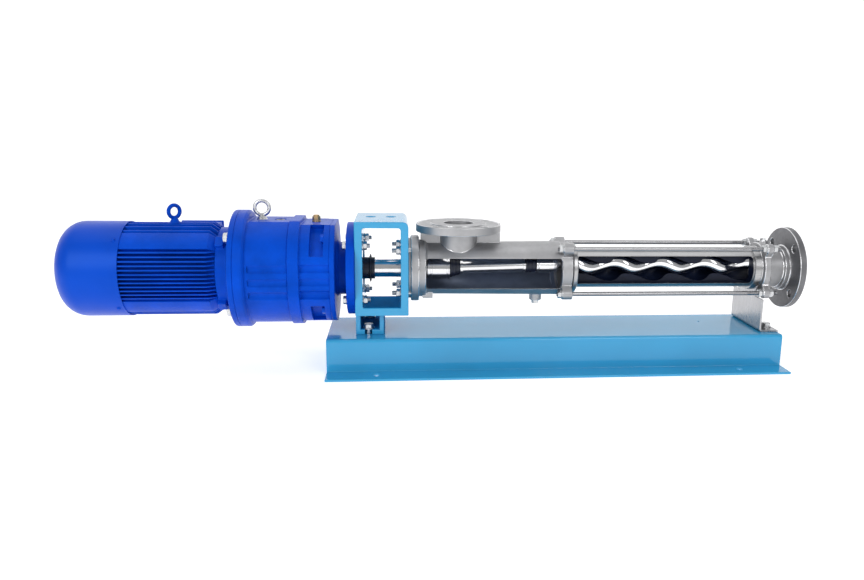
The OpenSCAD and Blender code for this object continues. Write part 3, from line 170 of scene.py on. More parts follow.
# A mix node's sockets for colours, which have no names of their own
MIX_FACTOR, MIX_FIRST, MIX_SECOND, MIX_RESULT = 0, 6, 7, 2
# Stretches that draw a noise out into lines
TURNED_RINGS = (1.0, 0.02, 0.02)
LINES_ALONG_SHAFT = (0.02, 1.0, 1.0)
UPRIGHT_LINES = (1.0, 1.0, 0.03)


def scaled(colour, factor):
    """A darker or lighter colour, opaque"""
    return (*(min(1.0, part * factor) for part in colour), 1.0)


class Finish(TreeMaker):
    """A material under work: noises on the piece's own coordinates vary its colour, gloss and grain"""

    def __init__(self, name, colour, metallic=0.0, roughness=0.5):
        self.colour = tuple(colour)
        self.material = bpy.data.materials.new(name)
        self.material.use_nodes = True
        self.material.diffuse_color = (*self.colour, 1.0)
        self.tree = self.material.node_tree
        self.shader = self.tree.nodes["Principled BSDF"]
        self.feed_shader("Base Color", (*self.colour, 1.0))
        self.feed_shader("Metallic", metallic)
        self.feed_shader("Roughness", roughness)

    def feed_shader(self, key, value):
        self.feed(self.shader.inputs[key], value)

    def noise(self, scale, detail=3.0, roughness=0.5, stretch=None):
        point = self.add("ShaderNodeTexCoord").outputs["Object"]
        if stretch:
            mapping = self.add("ShaderNodeMapping", {"Vector": point, "Scale": stretch})
            point = mapping.outputs["Vector"]
        node = self.add("ShaderNodeTexNoise", {"Vector": point, "Scale": scale, "Detail": detail,
                                               "Roughness": roughness})
        return node.outputs["Fac"]

    def spread(self, noise, low, high, band=NOISE_BAND):
        """The noise's band stretched to run from low to high"""
        node = self.add("ShaderNodeMapRange", {
            "Value": noise, "From Min": band[0], "From Max": band[1], "To Min": low, "To Max": high})
        return node.outputs["Result"]

    def vary_colour(self, cover, dark, light):
        """Lets the colour wander from a darker to a lighter share of itself"""
        node = self.add("ShaderNodeMix", {
            MIX_FACTOR: cover, MIX_FIRST: scaled(self.colour, dark), MIX_SECOND: scaled(self.colour, light)},
            data_type="RGBA")
        self.feed_shader("Base Color", node.outputs[MIX_RESULT])

    def vary_roughness(self, noise, low, high):
        self.feed_shader("Roughness", self.spread(noise, low, high))

    def raise_grain(self, *layers):
        """Bumps, coarsest first; each layer is a noise, a depth and a strength"""
        below = {}
        for noise, depth, strength in layers:
            node = self.add("ShaderNodeBump", {
                "Height": noise, "Distance": depth, "Strength": strength, **below})
            below = {"Normal": node.outputs["Normal"]}
        self.feed_shader("Normal", below["Normal"])


# Finishes

def cast_blue_paint():
    """Thick paint on the castings, cloudy and dimpled"""
    paint = Finish("cast_blue_paint", colours().gear_blue)
    paint.feed_shader("Specular IOR Level", 0.3)
    paint.feed_shader("Specular Tint", (0.12, 0.36, 1.0, 1.0))
    clouds = paint.noise(14.0, detail=4.0, roughness=0.6)
    paint.vary_colour(paint.spread(clouds, 0.0, 1.0), 0.82, 1.18)
    grain = paint.noise(260.0, roughness=0.6)
    paint.vary_roughness(grain, 0.28, 0.46)
    dimples = paint.noise(70.0, detail=2.0)
    paint.raise_grain((dimples, 0.0007, 0.5), (grain, 0.0004, 0.6))
    return paint.material


def sheet_blue_paint():
    """The same paint on pressed sheet, smoother"""
    paint = Finish("sheet_blue_paint", colours().gear_blue)
    paint.feed_shader("Specular IOR Level", 0.35)
    paint.feed_shader("Specular Tint", (0.2, 0.45, 1.0, 1.0))
    paint.vary_colour(paint.spread(paint.noise(9.0), 0.0, 1.0), 0.92, 1.1)
    peel = paint.noise(420.0, detail=2.0)
    paint.vary_roughness(peel, 0.30, 0.40)
    paint.raise_grain((peel, 0.00012, 0.5))
    return paint.material


def sky_gloss_paint():
    """Light blue gloss paint on the base and the lantern"""
    paint = Finish("sky_gloss_paint", colours().sky_blue)
    paint.vary_colour(paint.spread(paint.noise(6.0), 0.0, 1.0), 0.94, 1.05)
    peel = paint.noise(180.0, detail=2.0)
    paint.vary_roughness(peel, 0.06, 0.12)
    paint.raise_grain((peel, 0.00003, 0.3))
    return paint.material


def sky_shade_paint():
    """The same paint inside the lantern, dull, and darker as painted shade for the shade that falls inside it
    """
    paint = Finish("lantern_painted_shade", (0.003, 0.17, 0.42), roughness=0.9)
    paint.feed_shader("Specular IOR Level", 0.04)
    paint.vary_colour(paint.noise(14.0), 0.8, 1.2)
    return paint.material


def blasted_casting(name, grey):
    """Cast stainless steel, blasted dull and a little uneven"""
    steel = Finish(name, grey, metallic=1.0)
    clouds = steel.noise(11.0, detail=4.0, roughness=0.6)
    steel.vary_colour(steel.spread(clouds, 0.0, 1.0, WIDE_BAND), 0.84, 1.14)
    pits = steel.noise(120.0, roughness=0.6)
    steel.vary_roughness(pits, 0.42, 0.58)
    blast = steel.noise(520.0, detail=2.0, roughness=0.6)
    steel.raise_grain((pits, 0.0004, 0.5), (blast, 0.00025, 0.6))
    return steel.material


def turned_finish(name, colour, roughness, lines=2600.0, depth=0.00002, spread=0.08):
    """Bright metal with fine turning lines round the shaft's axis"""
    steel = Finish(name, colour, metallic=1.0)
    steel.vary_colour(steel.noise(30.0), 0.9, 1.08)
    rings = steel.noise(lines, detail=2.0, roughness=0.6, stretch=TURNED_RINGS)
    steel.vary_roughness(rings, roughness - spread / 2, roughness + spread / 2)
    steel.raise_grain((rings, depth, 0.5))
    return steel.material


def drawn_finish(name, colour, roughness, stretch=LINES_ALONG_SHAFT, lines=900.0):
    """Steel with fine straight lines"""
    steel = Finish(name, colour, metallic=1.0)
    steel.vary_colour(steel.noise(16.0), 0.88, 1.08)
    grain = steel.noise(lines, roughness=0.6, stretch=stretch)
    steel.vary_roughness(grain, roughness - 0.06, roughness + 0.08)
    steel.raise_grain((grain, 0.00003, 0.5))
    return steel.material


def plated_finish(name, colour, roughness):
    """Small steel pieces plated and blotchy"""
    steel = Finish(name, colour, metallic=1.0)
    steel.vary_colour(steel.noise(90.0, roughness=0.6), 0.78, 1.12)
    marks = steel.noise(380.0, detail=2.0)
    steel.vary_roughness(marks, roughness - 0.08, roughness + 0.12)
    steel.raise_grain((marks, 0.00006, 0.4))
    return steel.material


def rubber_finish(name, roughness, gloss):
    """Black rubber, moulded smooth"""
    rubber = Finish(name, colours().dark_rubber)
    rubber.feed_shader("Specular IOR Level", gloss)
    rubber.vary_colour(rubber.noise(40.0), 0.7, 1.5)
    grain = rubber.noise(700.0, detail=2.0)
    rubber.vary_roughness(grain, roughness - 0.06, roughness + 0.1)
    rubber.raise_grain((grain, 0.00006, 0.4))
    return rubber.material


def dull_finish(name, colour, metallic, roughness, grain_scale=120.0):
    """An uneven surface without lines"""
    finish = Finish(name, colour, metallic)
    grain = finish.noise(grain_scale, roughness=0.6)
    finish.vary_colour(grain, 0.75, 1.2)
    finish.vary_roughness(grain, roughness - 0.08, roughness + 0.1)
    finish.raise_grain((grain, 0.00012, 0.5))
    return finish.material


FINISHES = {}


def make_finishes():
    """One finish for each material slot, and the ones that single pieces or faces get"""
    FINISHES.update({
        "blue_paint": cast_blue_paint(),
        "sheet_paint": sheet_blue_paint(),
        "sky_paint": sky_gloss_paint(),
        # Painted shade: a darker, dull blue for the floors and foot walls inside the lantern
        "lantern_painted_shade": sky_shade_paint(),
        "cast_stainless": blasted_casting("blasted_casting", colours().casting),
        # Painted shade: the discharge flange is painted a darker steel than the rest of the casting
        "flange_painted_shade": blasted_casting("flange_painted_shade", (0.20, 0.20, 0.21)),
        # Painted shade: a dark bluish metal inside the casing's barrel, where shade falls
        "bore_painted_shade": dull_finish("bore_painted_shade", (0.20, 0.24, 0.33), 0.7, 0.40, 60.0),
        # Painted highlight: a brighter steel on the rounded edges of the stainless castings
        "worn_edge": turned_finish("edge_highlight_steel", (0.74, 0.74, 0.75), 0.24),
        "bright_steel": turned_finish("polished_shaft", (0.80, 0.80, 0.81), 0.16),
        "rotor_chrome": turned_finish("polished_rotor", (0.86, 0.86, 0.87), 0.08, 1200.0, 0.00001, 0.06),
        "machined_steel": turned_finish("machined_steel", (0.58, 0.58, 0.59), 0.26),
        "bearing_steel": turned_finish("ground_steel", (0.72, 0.72, 0.74), 0.12),
        "seal_face": turned_finish("lapped_face", (0.25, 0.26, 0.27), 0.2),
        "breather_brass": turned_finish("turned_brass", (0.66, 0.46, 0.22), 0.3),
        "tube_steel": drawn_finish("drawn_tube", (0.44, 0.44, 0.445), 0.30),
        "rod_steel": drawn_finish("bright_rod", (0.33, 0.33, 0.34), 0.24),
        "plate_steel": drawn_finish("brushed_plate", (0.45, 0.45, 0.465), 0.28, UPRIGHT_LINES),
        "core_steel": drawn_finish("stacked_sheets", (0.20, 0.21, 0.23), 0.5, TURNED_RINGS, 2000.0),
        "zinc_steel": plated_finish("zinc_plate", (0.66, 0.67, 0.68), 0.28),
        "plug_steel": plated_finish("black_plug", (0.16, 0.16, 0.17), 0.36),
        "rotor_cage": dull_finish("cast_aluminium", (0.52, 0.53, 0.54), 1.0, 0.4),
        "winding_copper": dull_finish("lacquered_copper", (0.42, 0.16, 0.06), 1.0, 0.3, 300.0),
        "fan_plastic": dull_finish("fan_plastic", (0.02, 0.02, 0.022), 0.0, 0.5, 300.0),
        "seal_rubber": rubber_finish("black_rubber", 0.42, gloss=0.5),
        "stator_elastomer": rubber_finish("stator_rubber", 0.34, gloss=0.22),
    })


# Which finish a CAD node gets where it isn't its slot's own
OTHER_FINISH = {
    "fan_cowl": "sheet_paint",
    "cowl_screws": "sheet_paint",
    "terminal_box_lid": "sheet_paint",
    "case_screws": "sheet_paint",
    "support_bracket": "plate_steel",
    "tie_rods": "rod_steel",
}


def finish_for(node):
    return FINISHES[OTHER_FINISH.get(node, SLOT_OF_NODE[node])]


# Mesh helpers

# Points nearer than this are one: in the loose triangles of a CAD node, and at the seam of a grown shape
CAD_WELD = 0.000004
SEAM_WELD = 0.000002
FLAT_WITHIN = math.radians(0.6)
# Edges at least this long, and sharper than this angle, are rounded
SHORTEST_ROUNDED = 0.0006
ROUNDED_FROM = math.radians(34.0)
LATHE_COLUMNS = 64


@contextmanager
def editing(mesh, *sources):
    """Opens the shapes of the sources, or else of the mesh itself, and writes the result to the mesh"""
    work = bmesh.new()
    for source in sources or (mesh,):
        work.from_mesh(source)
    yield work
    work.to_mesh(mesh)
    work.free()


def mesh_object(name, mesh):
    piece = bpy.data.objects.new(name, mesh)
    bpy.context.scene.collection.objects.link(piece)
    return piece


def give_finish(piece, finish):
    piece.data.materials.clear()
    piece.data.materials.append(finish)


def shade_by_angle(mesh, degrees):
    """Shades the curved faces smooth and keeps the edges past the angle sharp"""
    for face in mesh.polygons:
        face.use_smooth = True
    mesh.set_sharp_from_angle(angle=math.radians(degrees))


def evaluated_mesh(piece):
    """A plain mesh of the piece with its modifiers applied"""
    graph = bpy.context.evaluated_depsgraph_get()
    return bpy.data.meshes.new_from_object(piece.evaluated_get(graph))


def put_in_place(piece, node, smooth_to=32.0):
    """Gives the piece the finish of the CAD node's slot, shades it, puts it on the node's body and hides the
    node
    """
    give_finish(piece, finish_for(node))
    shade_by_angle(piece.data, smooth_to)
    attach(piece, BODY_OF_NODE[node])
    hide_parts(node)


def merged_copy(node):
    """A piece of the CAD node's own shape, its loose triangles merged and its flat faces joined"""
    mesh = bpy.data.meshes.new(node + "_finished")
    with editing(mesh, NODES[node].data) as work:
        bmesh.ops.remove_doubles(work, verts=work.verts, dist=CAD_WELD)
        bmesh.ops.dissolve_limit(work, angle_limit=FLAT_WITHIN, verts=work.verts, edges=work.edges,
                                 use_dissolve_boundaries=False)
    return mesh_object(node + "_finished", mesh)


def mark_sharp_edges(mesh, in_triangles):
    """Marks the edges that get rounded. Flat faces with many holes are split up first"""
    with editing(mesh) as work:
        if in_triangles:
            bmesh.ops.triangulate(work, faces=work.faces, ngon_method="BEAUTY")
        mark = work.edges.layers.float.new("bevel_weight_edge")
        for edge in work.edges:
            if len(edge.link_faces) != 2 or edge.calc_length() < SHORTEST_ROUNDED:
                continue
            if edge.calc_face_angle() > ROUNDED_FROM:
                edge[mark] = 1.0


def rounded_copy(node, width, in_triangles=False):
    """The node's own shape with its sharp edges rounded as the real piece's are"""
    piece = merged_copy(node)
    mark_sharp_edges(piece.data, in_triangles)
    put_in_place(piece, node)
    rounding = piece.modifiers.new("edge", "BEVEL")
    rounding.width = width
    rounding.segments = 2
    rounding.limit_method = "WEIGHT"
    rounding.use_clamp_overlap = False
    rounding.miter_outer = "MITER_ARC"
    # The rounded edges of the stainless castings get a brighter steel as painted highlight
    if SLOT_OF_NODE[node] == "cast_stainless":
        piece.data.materials.append(FINISHES["worn_edge"])
        rounding.material = 1
    even = piece.modifiers.new("even_shading", "WEIGHTED_NORMAL")
    even.mode = "FACE_AREA_WITH_ANGLE"
    even.keep_sharp = True
    return piece


def paint_faces(piece, finish, holds):
    """Gives another finish to the faces whose middle and normal pass the test"""
    mesh = piece.data
    mesh.materials.append(FINISHES[finish])
    for face in mesh.polygons:
        if holds(face.center, face.normal):
            face.material_index = len(mesh.materials) - 1


def closed_tube(piece):
    """Merges the seam of a grown tube, closes its ends and turns its faces outwards"""
    with editing(piece.data) as work:
        bmesh.ops.remove_doubles(work, verts=work.verts, dist=SEAM_WELD)
        open_edges = [edge for edge in work.edges if edge.is_boundary]
        bmesh.ops.holes_fill(work, edges=open_edges, sides=0)
        bmesh.ops.recalc_face_normals(work, faces=work.faces)


def join_pieces(name, pieces):
    """One piece out of several"""
    mesh = bpy.data.meshes.new(name)
    with editing(mesh, *(piece.data for piece in pieces)) as work:
        bmesh.ops.recalc_face_normals(work, faces=work.faces)
    for piece in pieces:
        bpy.data.objects.remove(piece)
    return mesh_object(name, mesh)


def ruled_mesh(name, rings, closed_rows=False):
    """A piece through rings of equally many points, with its ends closed unless the rows run round"""
    mesh = bpy.data.meshes.new(name)
    with editing(mesh) as work:
        rows = [[work.verts.new(point) for point in ring] for ring in rings]
        count = len(rows[0])
        for row in range(len(rows) if closed_rows else len(rows) - 1):
            first, second = rows[row], rows[(row + 1) % len(rows)]
            for k in range(count):
                after = (k + 1) % count
                work.faces.new((first[k], first[after], second[after], second[k]))
        if not closed_rows:
            work.faces.new(rows[0])
            work.faces.new(list(reversed(rows[-1])))
        bmesh.ops.recalc_face_normals(work, faces=work.faces)
    return mesh_object(name, mesh)


def ring_of_points(x, y, z, radius, count):
    """Points on an upright circle across the shaft"""
    angles = [math.tau * k / count for k in range(count)]
    return [(x, y + radius * math.cos(a), z + radius * math.sin(a)) for a in angles]


def leaning_lathe(name, profile, start, end):
    """Rings along the line from start to end; the profile lists shares of the way with their radius"""
    start, end = Vector(start), Vector(end)
    return ruled_mesh(name, [ring_of_points(*start.lerp(end, share), radius, LATHE_COLUMNS)
                             for share, radius in profile], closed_rows=True)


def cut_away(piece, cutter):
    """Takes the cutter out of the piece"""
    modifier = piece.modifiers.new("cut", "BOOLEAN")
    modifier.operation = "DIFFERENCE"
    modifier.solver = "EXACT"
    modifier.object = cutter
    result = evaluated_mesh(piece)
    piece.modifiers.remove(modifier)
    piece.data = result
    bpy.data.objects.remove(cutter)


# Geometry trees

class Growth(TreeMaker):
    """A geometry tree in the making, with named inputs for the sizes of what it grows"""

    def __init__(self, name, inputs):
        self.tree = bpy.data.node_groups.new(name, "GeometryNodeTree")
        self.add_socket("Geometry", "INPUT", "NodeSocketGeometry")
        for label, value in inputs.items():
            kind = "NodeSocketInt" if isinstance(value, int) else "NodeSocketFloat"
            self.add_socket(label, "INPUT", kind).default_value = value
        self.add_socket("Finish", "INPUT", "NodeSocketMaterial")
        self.add_socket("Geometry", "OUTPUT", "NodeSocketGeometry")
        self.source = self.tree.nodes.new("NodeGroupInput")
        self.target = self.tree.nodes.new("NodeGroupOutput")

    def __getitem__(self, label):
        return Field(self, self.source.outputs[label])

    def add_socket(self, label, side, kind):
        return self.tree.interface.new_socket(label, in_out=side, socket_type=kind)

    def grid(self, rows, columns):
        """A flat grid, and the two fields that run from 0 to 1 along it and round it"""
        grid = self.add("GeometryNodeMeshGrid", {
            "Size X": 1.0, "Size Y": 1.0, "Vertices X": rows, "Vertices Y": columns})
        position = self.add("GeometryNodeInputPosition")
        split = self.add("ShaderNodeSeparateXYZ", {"Vector": position.outputs["Position"]})
        along, around = (Field(self, split.outputs[axis]) + 0.5 for axis in ("X", "Y"))
        return grid.outputs["Mesh"], along, around

    def pick(self, index, values):
        """The one of the values that stands at the index"""
        switch = self.add("GeometryNodeIndexSwitch", data_type="FLOAT")
        while len(switch.index_switch_items) < len(values):
            switch.index_switch_items.new()
        self.feed(switch.inputs["Index"], index)
        for place, value in enumerate(values):
            switch.inputs[1 + place].default_value = value
        return Field(self, switch.outputs[0])

    def placed(self, mesh, x, y, z):
        """The mesh with its points moved"""
        point = self.add("ShaderNodeCombineXYZ", {"X": x, "Y": y, "Z": z})
        moved = self.add("GeometryNodeSetPosition", {
            "Geometry": mesh, "Position": point.outputs["Vector"]})
        return moved.outputs["Geometry"]

    def copies(self, mesh):
        """One closed copy of the mesh on each point, its Z axis turned along the point's direction"""
        closed = self.add("GeometryNodeMergeByDistance", {"Geometry": mesh, "Distance": SEAM_WELD})
        direction = self.add("GeometryNodeInputNamedAttribute", {"Name": "direction"},
                             data_type="FLOAT_VECTOR")
        turn = self.add("FunctionNodeAlignRotationToVector", {
            "Vector": direction.outputs["Attribute"]}, axis="Z")
        copies = self.add("GeometryNodeInstanceOnPoints", {
            "Points": self.source.outputs["Geometry"], "Instance": closed.outputs["Geometry"],
            "Rotation": turn.outputs["Rotation"]})
        return copies.outputs["Instances"]

    def finished(self, geometry):
        """The tree, ended by making its copies real and giving them their material"""
        real = self.add("GeometryNodeRealizeInstances", {"Geometry": geometry})
        paint = self.add("GeometryNodeSetMaterial", {
            "Geometry": real.outputs["Geometry"], "Material": self["Finish"]})
        self.feed(self.target.inputs["Geometry"], paint.outputs["Geometry"])
        return self.tree


def grown(name, tree, values, finish, points=None):
    """Runs a tree, on points where it copies a shape, and returns a plain piece made from its result"""
    holder = mesh_object(name + "_holder", points or bpy.data.meshes.new(name + "_base"))
    modifier = holder.modifiers.new("grow", "NODES")
    modifier.node_group = tree
    values = {**values, "Finish": finish}
    for item in tree.interface.items_tree:
        if item.in_out == "INPUT" and item.name in values:
            modifier[item.identifier] = values[item.name]
    result = evaluated_mesh(holder)
    bpy.data.objects.remove(holder)
    return mesh_object(name, result)


def rotor_tree():
    """A round section carried along a screw line"""
    size = Growth("rotor_screw", {
        "Start": 0.0, "End": 1.0, "Pitch": 0.1, "Offset": 0.007, "Radius": 0.017, "Phase": 0.0,
        "Axis Height": 0.217, "Rows": 400, "Columns": 97})
    mesh, along, around = size.grid(size["Rows"], size["Columns"])
    x = size["Start"] + along * (size["End"] - size["Start"])
    screw = (x - size["Phase"]) / size["Pitch"] * math.tau + math.pi / 2
    ring = around * math.tau
    y = size["Offset"] * screw.cos() + size["Radius"] * ring.cos()
    z = size["Offset"] * screw.sin() + size["Radius"] * ring.sin()
    return size.finished(size.placed(mesh, x, y, z + size["Axis Height"]))


# The chamfer at a thread's tip as a share of its depth, and the row at each end that closes it
TIP_CHAMFER = 1.3
END_ROW = 0.0001


def thread_tree():
    """The threaded end of a rod on each point, running along the point's direction"""
    size = Growth("threads", {
        "Length": 0.02, "Radius": 0.005, "Depth": 0.0008, "Pitch": 0.0015, "Rows": 100, "Columns": 25})
    mesh, along, around = size.grid(size["Rows"], size["Columns"])
    height = along * size["Length"]
    turn = (height / size["Pitch"] - around).math("FRACT")
    wave = (turn * 2.0 - 1.0).math("ABSOLUTE")
    crest = size["Radius"] - wave * size["Depth"]
    tip = size["Radius"] - size["Depth"] * TIP_CHAMFER + (size["Length"] - height)
    radius = crest.math("MINIMUM", tip)
    radius = radius * along.math("GREATER_THAN", END_ROW) * along.math("LESS_THAN", 1.0 - END_ROW)
    ring = around * math.tau
    return size.finished(size.copies(size.placed(mesh, radius * ring.cos(), radius * ring.sin(), height)))


# Rows of the fasteners from the top of the head down, or for a nut round its section. Each is seated at
# height 0 and faces up. A row is its radius and height as shares of the size, the share of the length in
# its height, 1 on the hexagon, and which way the hexagon's chamfer falls

def turned(radius, height, reach=0):
    return radius, height, reach, 0, 0


def hexagon(height, chamfer=0):
    return 0, height, 0, 1, chamfer


BOLT_ROWS = (turned(0, 0.83), turned(0.70, 0.83), turned(0.76, 0.83), hexagon(0.83, -1), hexagon(0.20),
             turned(0.74, 0.20), turned(0.74, 0.18), turned(0.97, 0.18), turned(1.0, 0.15), turned(1.0, 0),
             turned(0.5, 0), turned(0.5, 0.12, -1), turned(0.42, 0, -1), turned(0, 0, -1))
NUT_ROWS = (turned(0.5, 0), turned(1.0, 0), turned(1.0, 0.15), turned(0.97, 0.18), turned(0.76, 0.18),
            hexagon(0.18, 1), hexagon(0.98, -1), turned(0.76, 0.98), turned(0.57, 0.98),
            turned(0.5, 0.90), turned(0.5, 0))
PLAIN_HEAD_ROWS = (turned(0, 0.65), turned(0.70, 0.65), turned(0.76, 0.65), hexagon(0.65, -1), hexagon(0),
                   turned(0.5, 0), turned(0.5, 0, -1), turned(0, 0, -1))
ROD_ROWS = (turned(0, 0), turned(0.5, 0), turned(0.5, 0, 1), turned(0, 0, 1))
PLUG_ROWS = (turned(0, 0.69), turned(0.40, 0.69), turned(0.44, 0.69), hexagon(0.69, -1), hexagon(0.2),
             turned(0.70, 0.2), turned(0.73, 0.17), turned(0.73, 0), turned(0.5, 0), turned(0.5, 0, -1),
             turned(0, 0, -1))
BREATHER_ROWS = (turned(0, 1.25), turned(0.44, 1.25), turned(0.54, 1.2), turned(0.54, 1.0),
                 turned(0.58, 1.0), hexagon(1.0, -1), hexagon(0.25), turned(0.72, 0.25), turned(0.75, 0.22),
                 turned(0.75, 0), turned(0.5, 0), turned(0.5, 0, -1), turned(0, 0, -1))
# Width over the flats as a share of the size
BOLT_FLATS, ROD_FLATS, PLUG_FLATS, BREATHER_FLATS = 1.6, 1.0, 1.08, 1.25
# Where on the flats the chamfer of a hexagon's corners begins
CHAMFER_FROM = 0.95


def fastener_tree(name, rows, flats):
    """A bolt, nut, rod or plug on each point"""
    size = Growth(name, {"Size": 0.01, "Length": 0.03, "Flats": flats, "Columns": 49})
    mesh, along, around = size.grid(len(rows), size["Columns"])
    row = (along * (len(rows) - 1.0)).math("ROUND")
    radius_share, height_share, reach, on_hexagon, chamfer = (size.pick(row, column) for column in zip(*rows))
    ring = around * math.tau
    half_flats = size["Size"] * (size["Flats"] * 0.5)
    from_middle = ring % (math.pi / 3) - math.pi / 6
    corner_radius = half_flats / from_middle.cos()
    radius = radius_share * size["Size"] + corner_radius * on_hexagon
    fall = (corner_radius - half_flats * CHAMFER_FROM) * (chamfer * math.tan(math.pi / 6))
    height = height_share * size["Size"] + reach * size["Length"] + fall * on_hexagon
    return size.finished(size.copies(size.placed(mesh, radius * ring.cos(), radius * ring.sin(), height)))


def points_mesh(name, places, direction):
    """Points that all look one way"""
    mesh = bpy.data.meshes.new(name)
    mesh.from_pydata([tuple(place) for place in places], [], [])
    ways = mesh.attributes.new("direction", "FLOAT_VECTOR", "POINT")
    for item in ways.data:
        item.vector = direction
    return mesh


# Operators

class FinishOperator:
    """Shared settings of the operators"""
    bl_options = {"REGISTER", "UNDO"}


class PUMP_OT_paint_nodes(FinishOperator, bpy.types.Operator):
    """Gives every CAD piece the finish of its material"""
    bl_idname = "pump.paint_nodes"
    bl_label = "Paint CAD pieces"

    def execute(self, context):
        make_finishes()
        for node, piece in NODES.items():
            for slot in piece.material_slots:
                slot.material = finish_for(node)
            if not piece.material_slots:
                piece.data.materials.append(finish_for(node))
        return {"FINISHED"}


# Each piece's rounding: the edge that it follows, and its share of that
CAST, FINE = "casting_edge", "machined_edge"
EDGES = {
    "gear_case_rear": (CAST, 1.0), "gear_case_front": (CAST, 0.6), "output_flange": (CAST, 0.75),
    "motor_front_shield": (CAST, 1.0), "clamp_ring": (CAST, 1.0), "base_frame": (CAST, 1.0),
    "support_bracket": (FINE, 1.0), "seal_cover": (FINE, 1.5), "stator_tube": (FINE, 1.0),
    "motor_frame": (CAST, 0.4), "terminal_box": (CAST, 1.0), "terminal_box_lid": (CAST, 1.0),
}
LANTERN_EDGE, NOZZLE_EDGE, CASING_EDGE = 1.0, 0.8, 0.5
# The lantern's floors that get the painted shade lie at least this far under the shaft, and its foot ends at
# this height
FLOOR_UNDER_SHAFT = 0.05
FOOT_TOP = 0.118
# The room inside the casing's barrel: where it starts and ends along the shaft, and its radius
BARREL_START, BARREL_END, BARREL_ROOM = -0.292, 0.0055, 0.0545
# Just behind the back of the discharge flange
DISCHARGE_FLANGE_BACK = 0.5305
# How squarely a face looks up or along the shaft to count as a floor, a wall or an end
FLOOR_FACING, WALL_FACING, END_FACING = 0.5, 0.7, 0.9


def in_tray(place, normal):
    """The floors inside the lantern and its foot, and the walls of the foot, which get the painted shade"""
    low = place.z < sizes().shaft_height - FLOOR_UNDER_SHAFT
    return low and (normal.z > FLOOR_FACING or abs(normal.x) > WALL_FACING and place.z < FOOT_TOP)


def in_bore(place, normal):
    """Inside the casing's barrel, facing the shaft or closing an end: the faces that get the painted shade"""
    z = place.z - sizes().shaft_height
    inwards = normal.y * place.y + normal.z * z < 0 or abs(normal.x) > END_FACING
    return BARREL_START < place.x < BARREL_END and math.hypot(place.y, z) < BARREL_ROOM and inwards


# The faces of the discharge flange, which get the painted shade
def on_discharge_flange(place, normal):
    return place.x > DISCHARGE_FLANGE_BACK


class PUMP_OT_round_castings(FinishOperator, bpy.types.Operator):
    """Rounds the edges of the cast, folded and turned pieces"""
    bl_idname = "pump.round_castings"
    bl_label = "Round the castings"

    def execute(self, context):
        for node, (edge, share) in EDGES.items():
            rounded_copy(node, getattr(sizes(), edge) * share)
        cast = sizes().casting_edge
        lantern = rounded_copy("lantern", cast * LANTERN_EDGE)
        # The floors and foot walls inside the lantern get a darker blue as painted shade
        paint_faces(lantern, "lantern_painted_shade", in_tray)
        nozzle = rounded_copy("discharge_nozzle", cast * NOZZLE_EDGE)
        # The discharge flange gets a darker steel as painted shade
        paint_faces(nozzle, "flange_painted_shade", on_discharge_flange)
        casing = rounded_copy("suction_casing", cast * CASING_EDGE, in_triangles=True)
        # The inside of the barrel gets a dark bluish metal as painted shade
        paint_faces(casing, "bore_painted_shade", in_bore)
        put_in_place(merged_copy("fan_cowl"), "fan_cowl")
        return {"FINISHED"}


ROTOR_ROWS, ROTOR_COLUMNS = 420, 97
# Where the rotor's neck leaves its joint, and how far it reaches into the screw
NECK_START = -0.0108
NECK_LAP = 0.003
# The neck's outline: shares of its length, with its radius there
NECK_OUTLINE = ((0.0, 0.0002), (0.0, 0.0100), (0.02, 0.0110), (0.70, 0.0110), (0.90, 0.0125),
                (1.0, 0.0125), (1.0, 0.0002))


class PUMP_OT_make_rotor(FinishOperator, bpy.types.Operator):
    """Makes the smooth screw of the rotor"""
    bl_idname = "pump.make_rotor"
    bl_label = "Make the rotor"

    def execute(self, context):
        s = sizes()
        axis = s.shaft_height + s.rotor_offset
        screw = grown("rotor_screw", rotor_tree(), {
            "Start": s.rotor_start, "End": s.rotor_end, "Pitch": s.rotor_pitch, "Offset": s.rotor_offset,
            "Radius": s.rotor_radius, "Phase": s.rotor_phase, "Axis Height": axis,
            "Rows": ROTOR_ROWS, "Columns": ROTOR_COLUMNS}, finish_for("rotor"))
        closed_tube(screw)
        neck = leaning_lathe("rotor_neck", NECK_OUTLINE, (NECK_START, 0, axis),
                             (s.rotor_start + NECK_LAP, 0, axis))
        rotor = join_pieces("rotor_finished", [screw, neck])
        put_in_place(rotor, "rotor", smooth_to=40.0)
        return {"FINISHED"}


RUBBER_COLUMNS = 160
# Room between the rotor and the rubber, and how far a cutter stands out past what it cuts
RUBBER_GAP = 0.00035
CUT_PAST = 0.001
# The stator's window: rubber left before and behind it, half its height, the radius of its corners, and
# how far from the shaft the cut begins and ends
WINDOW_FROM_START, WINDOW_FROM_END = 0.013, 0.018
WINDOW_HALF, WINDOW_CORNER = 0.031, 0.005
WINDOW_DEPTHS = (-0.013, -0.08)
# Steps round each end of the slot, along its sides, per turn of the rotor, and round a window's corner
END_STEPS, SIDE_STEPS, TURN_STEPS, CORNER_STEPS = 20, 6, 44, 6


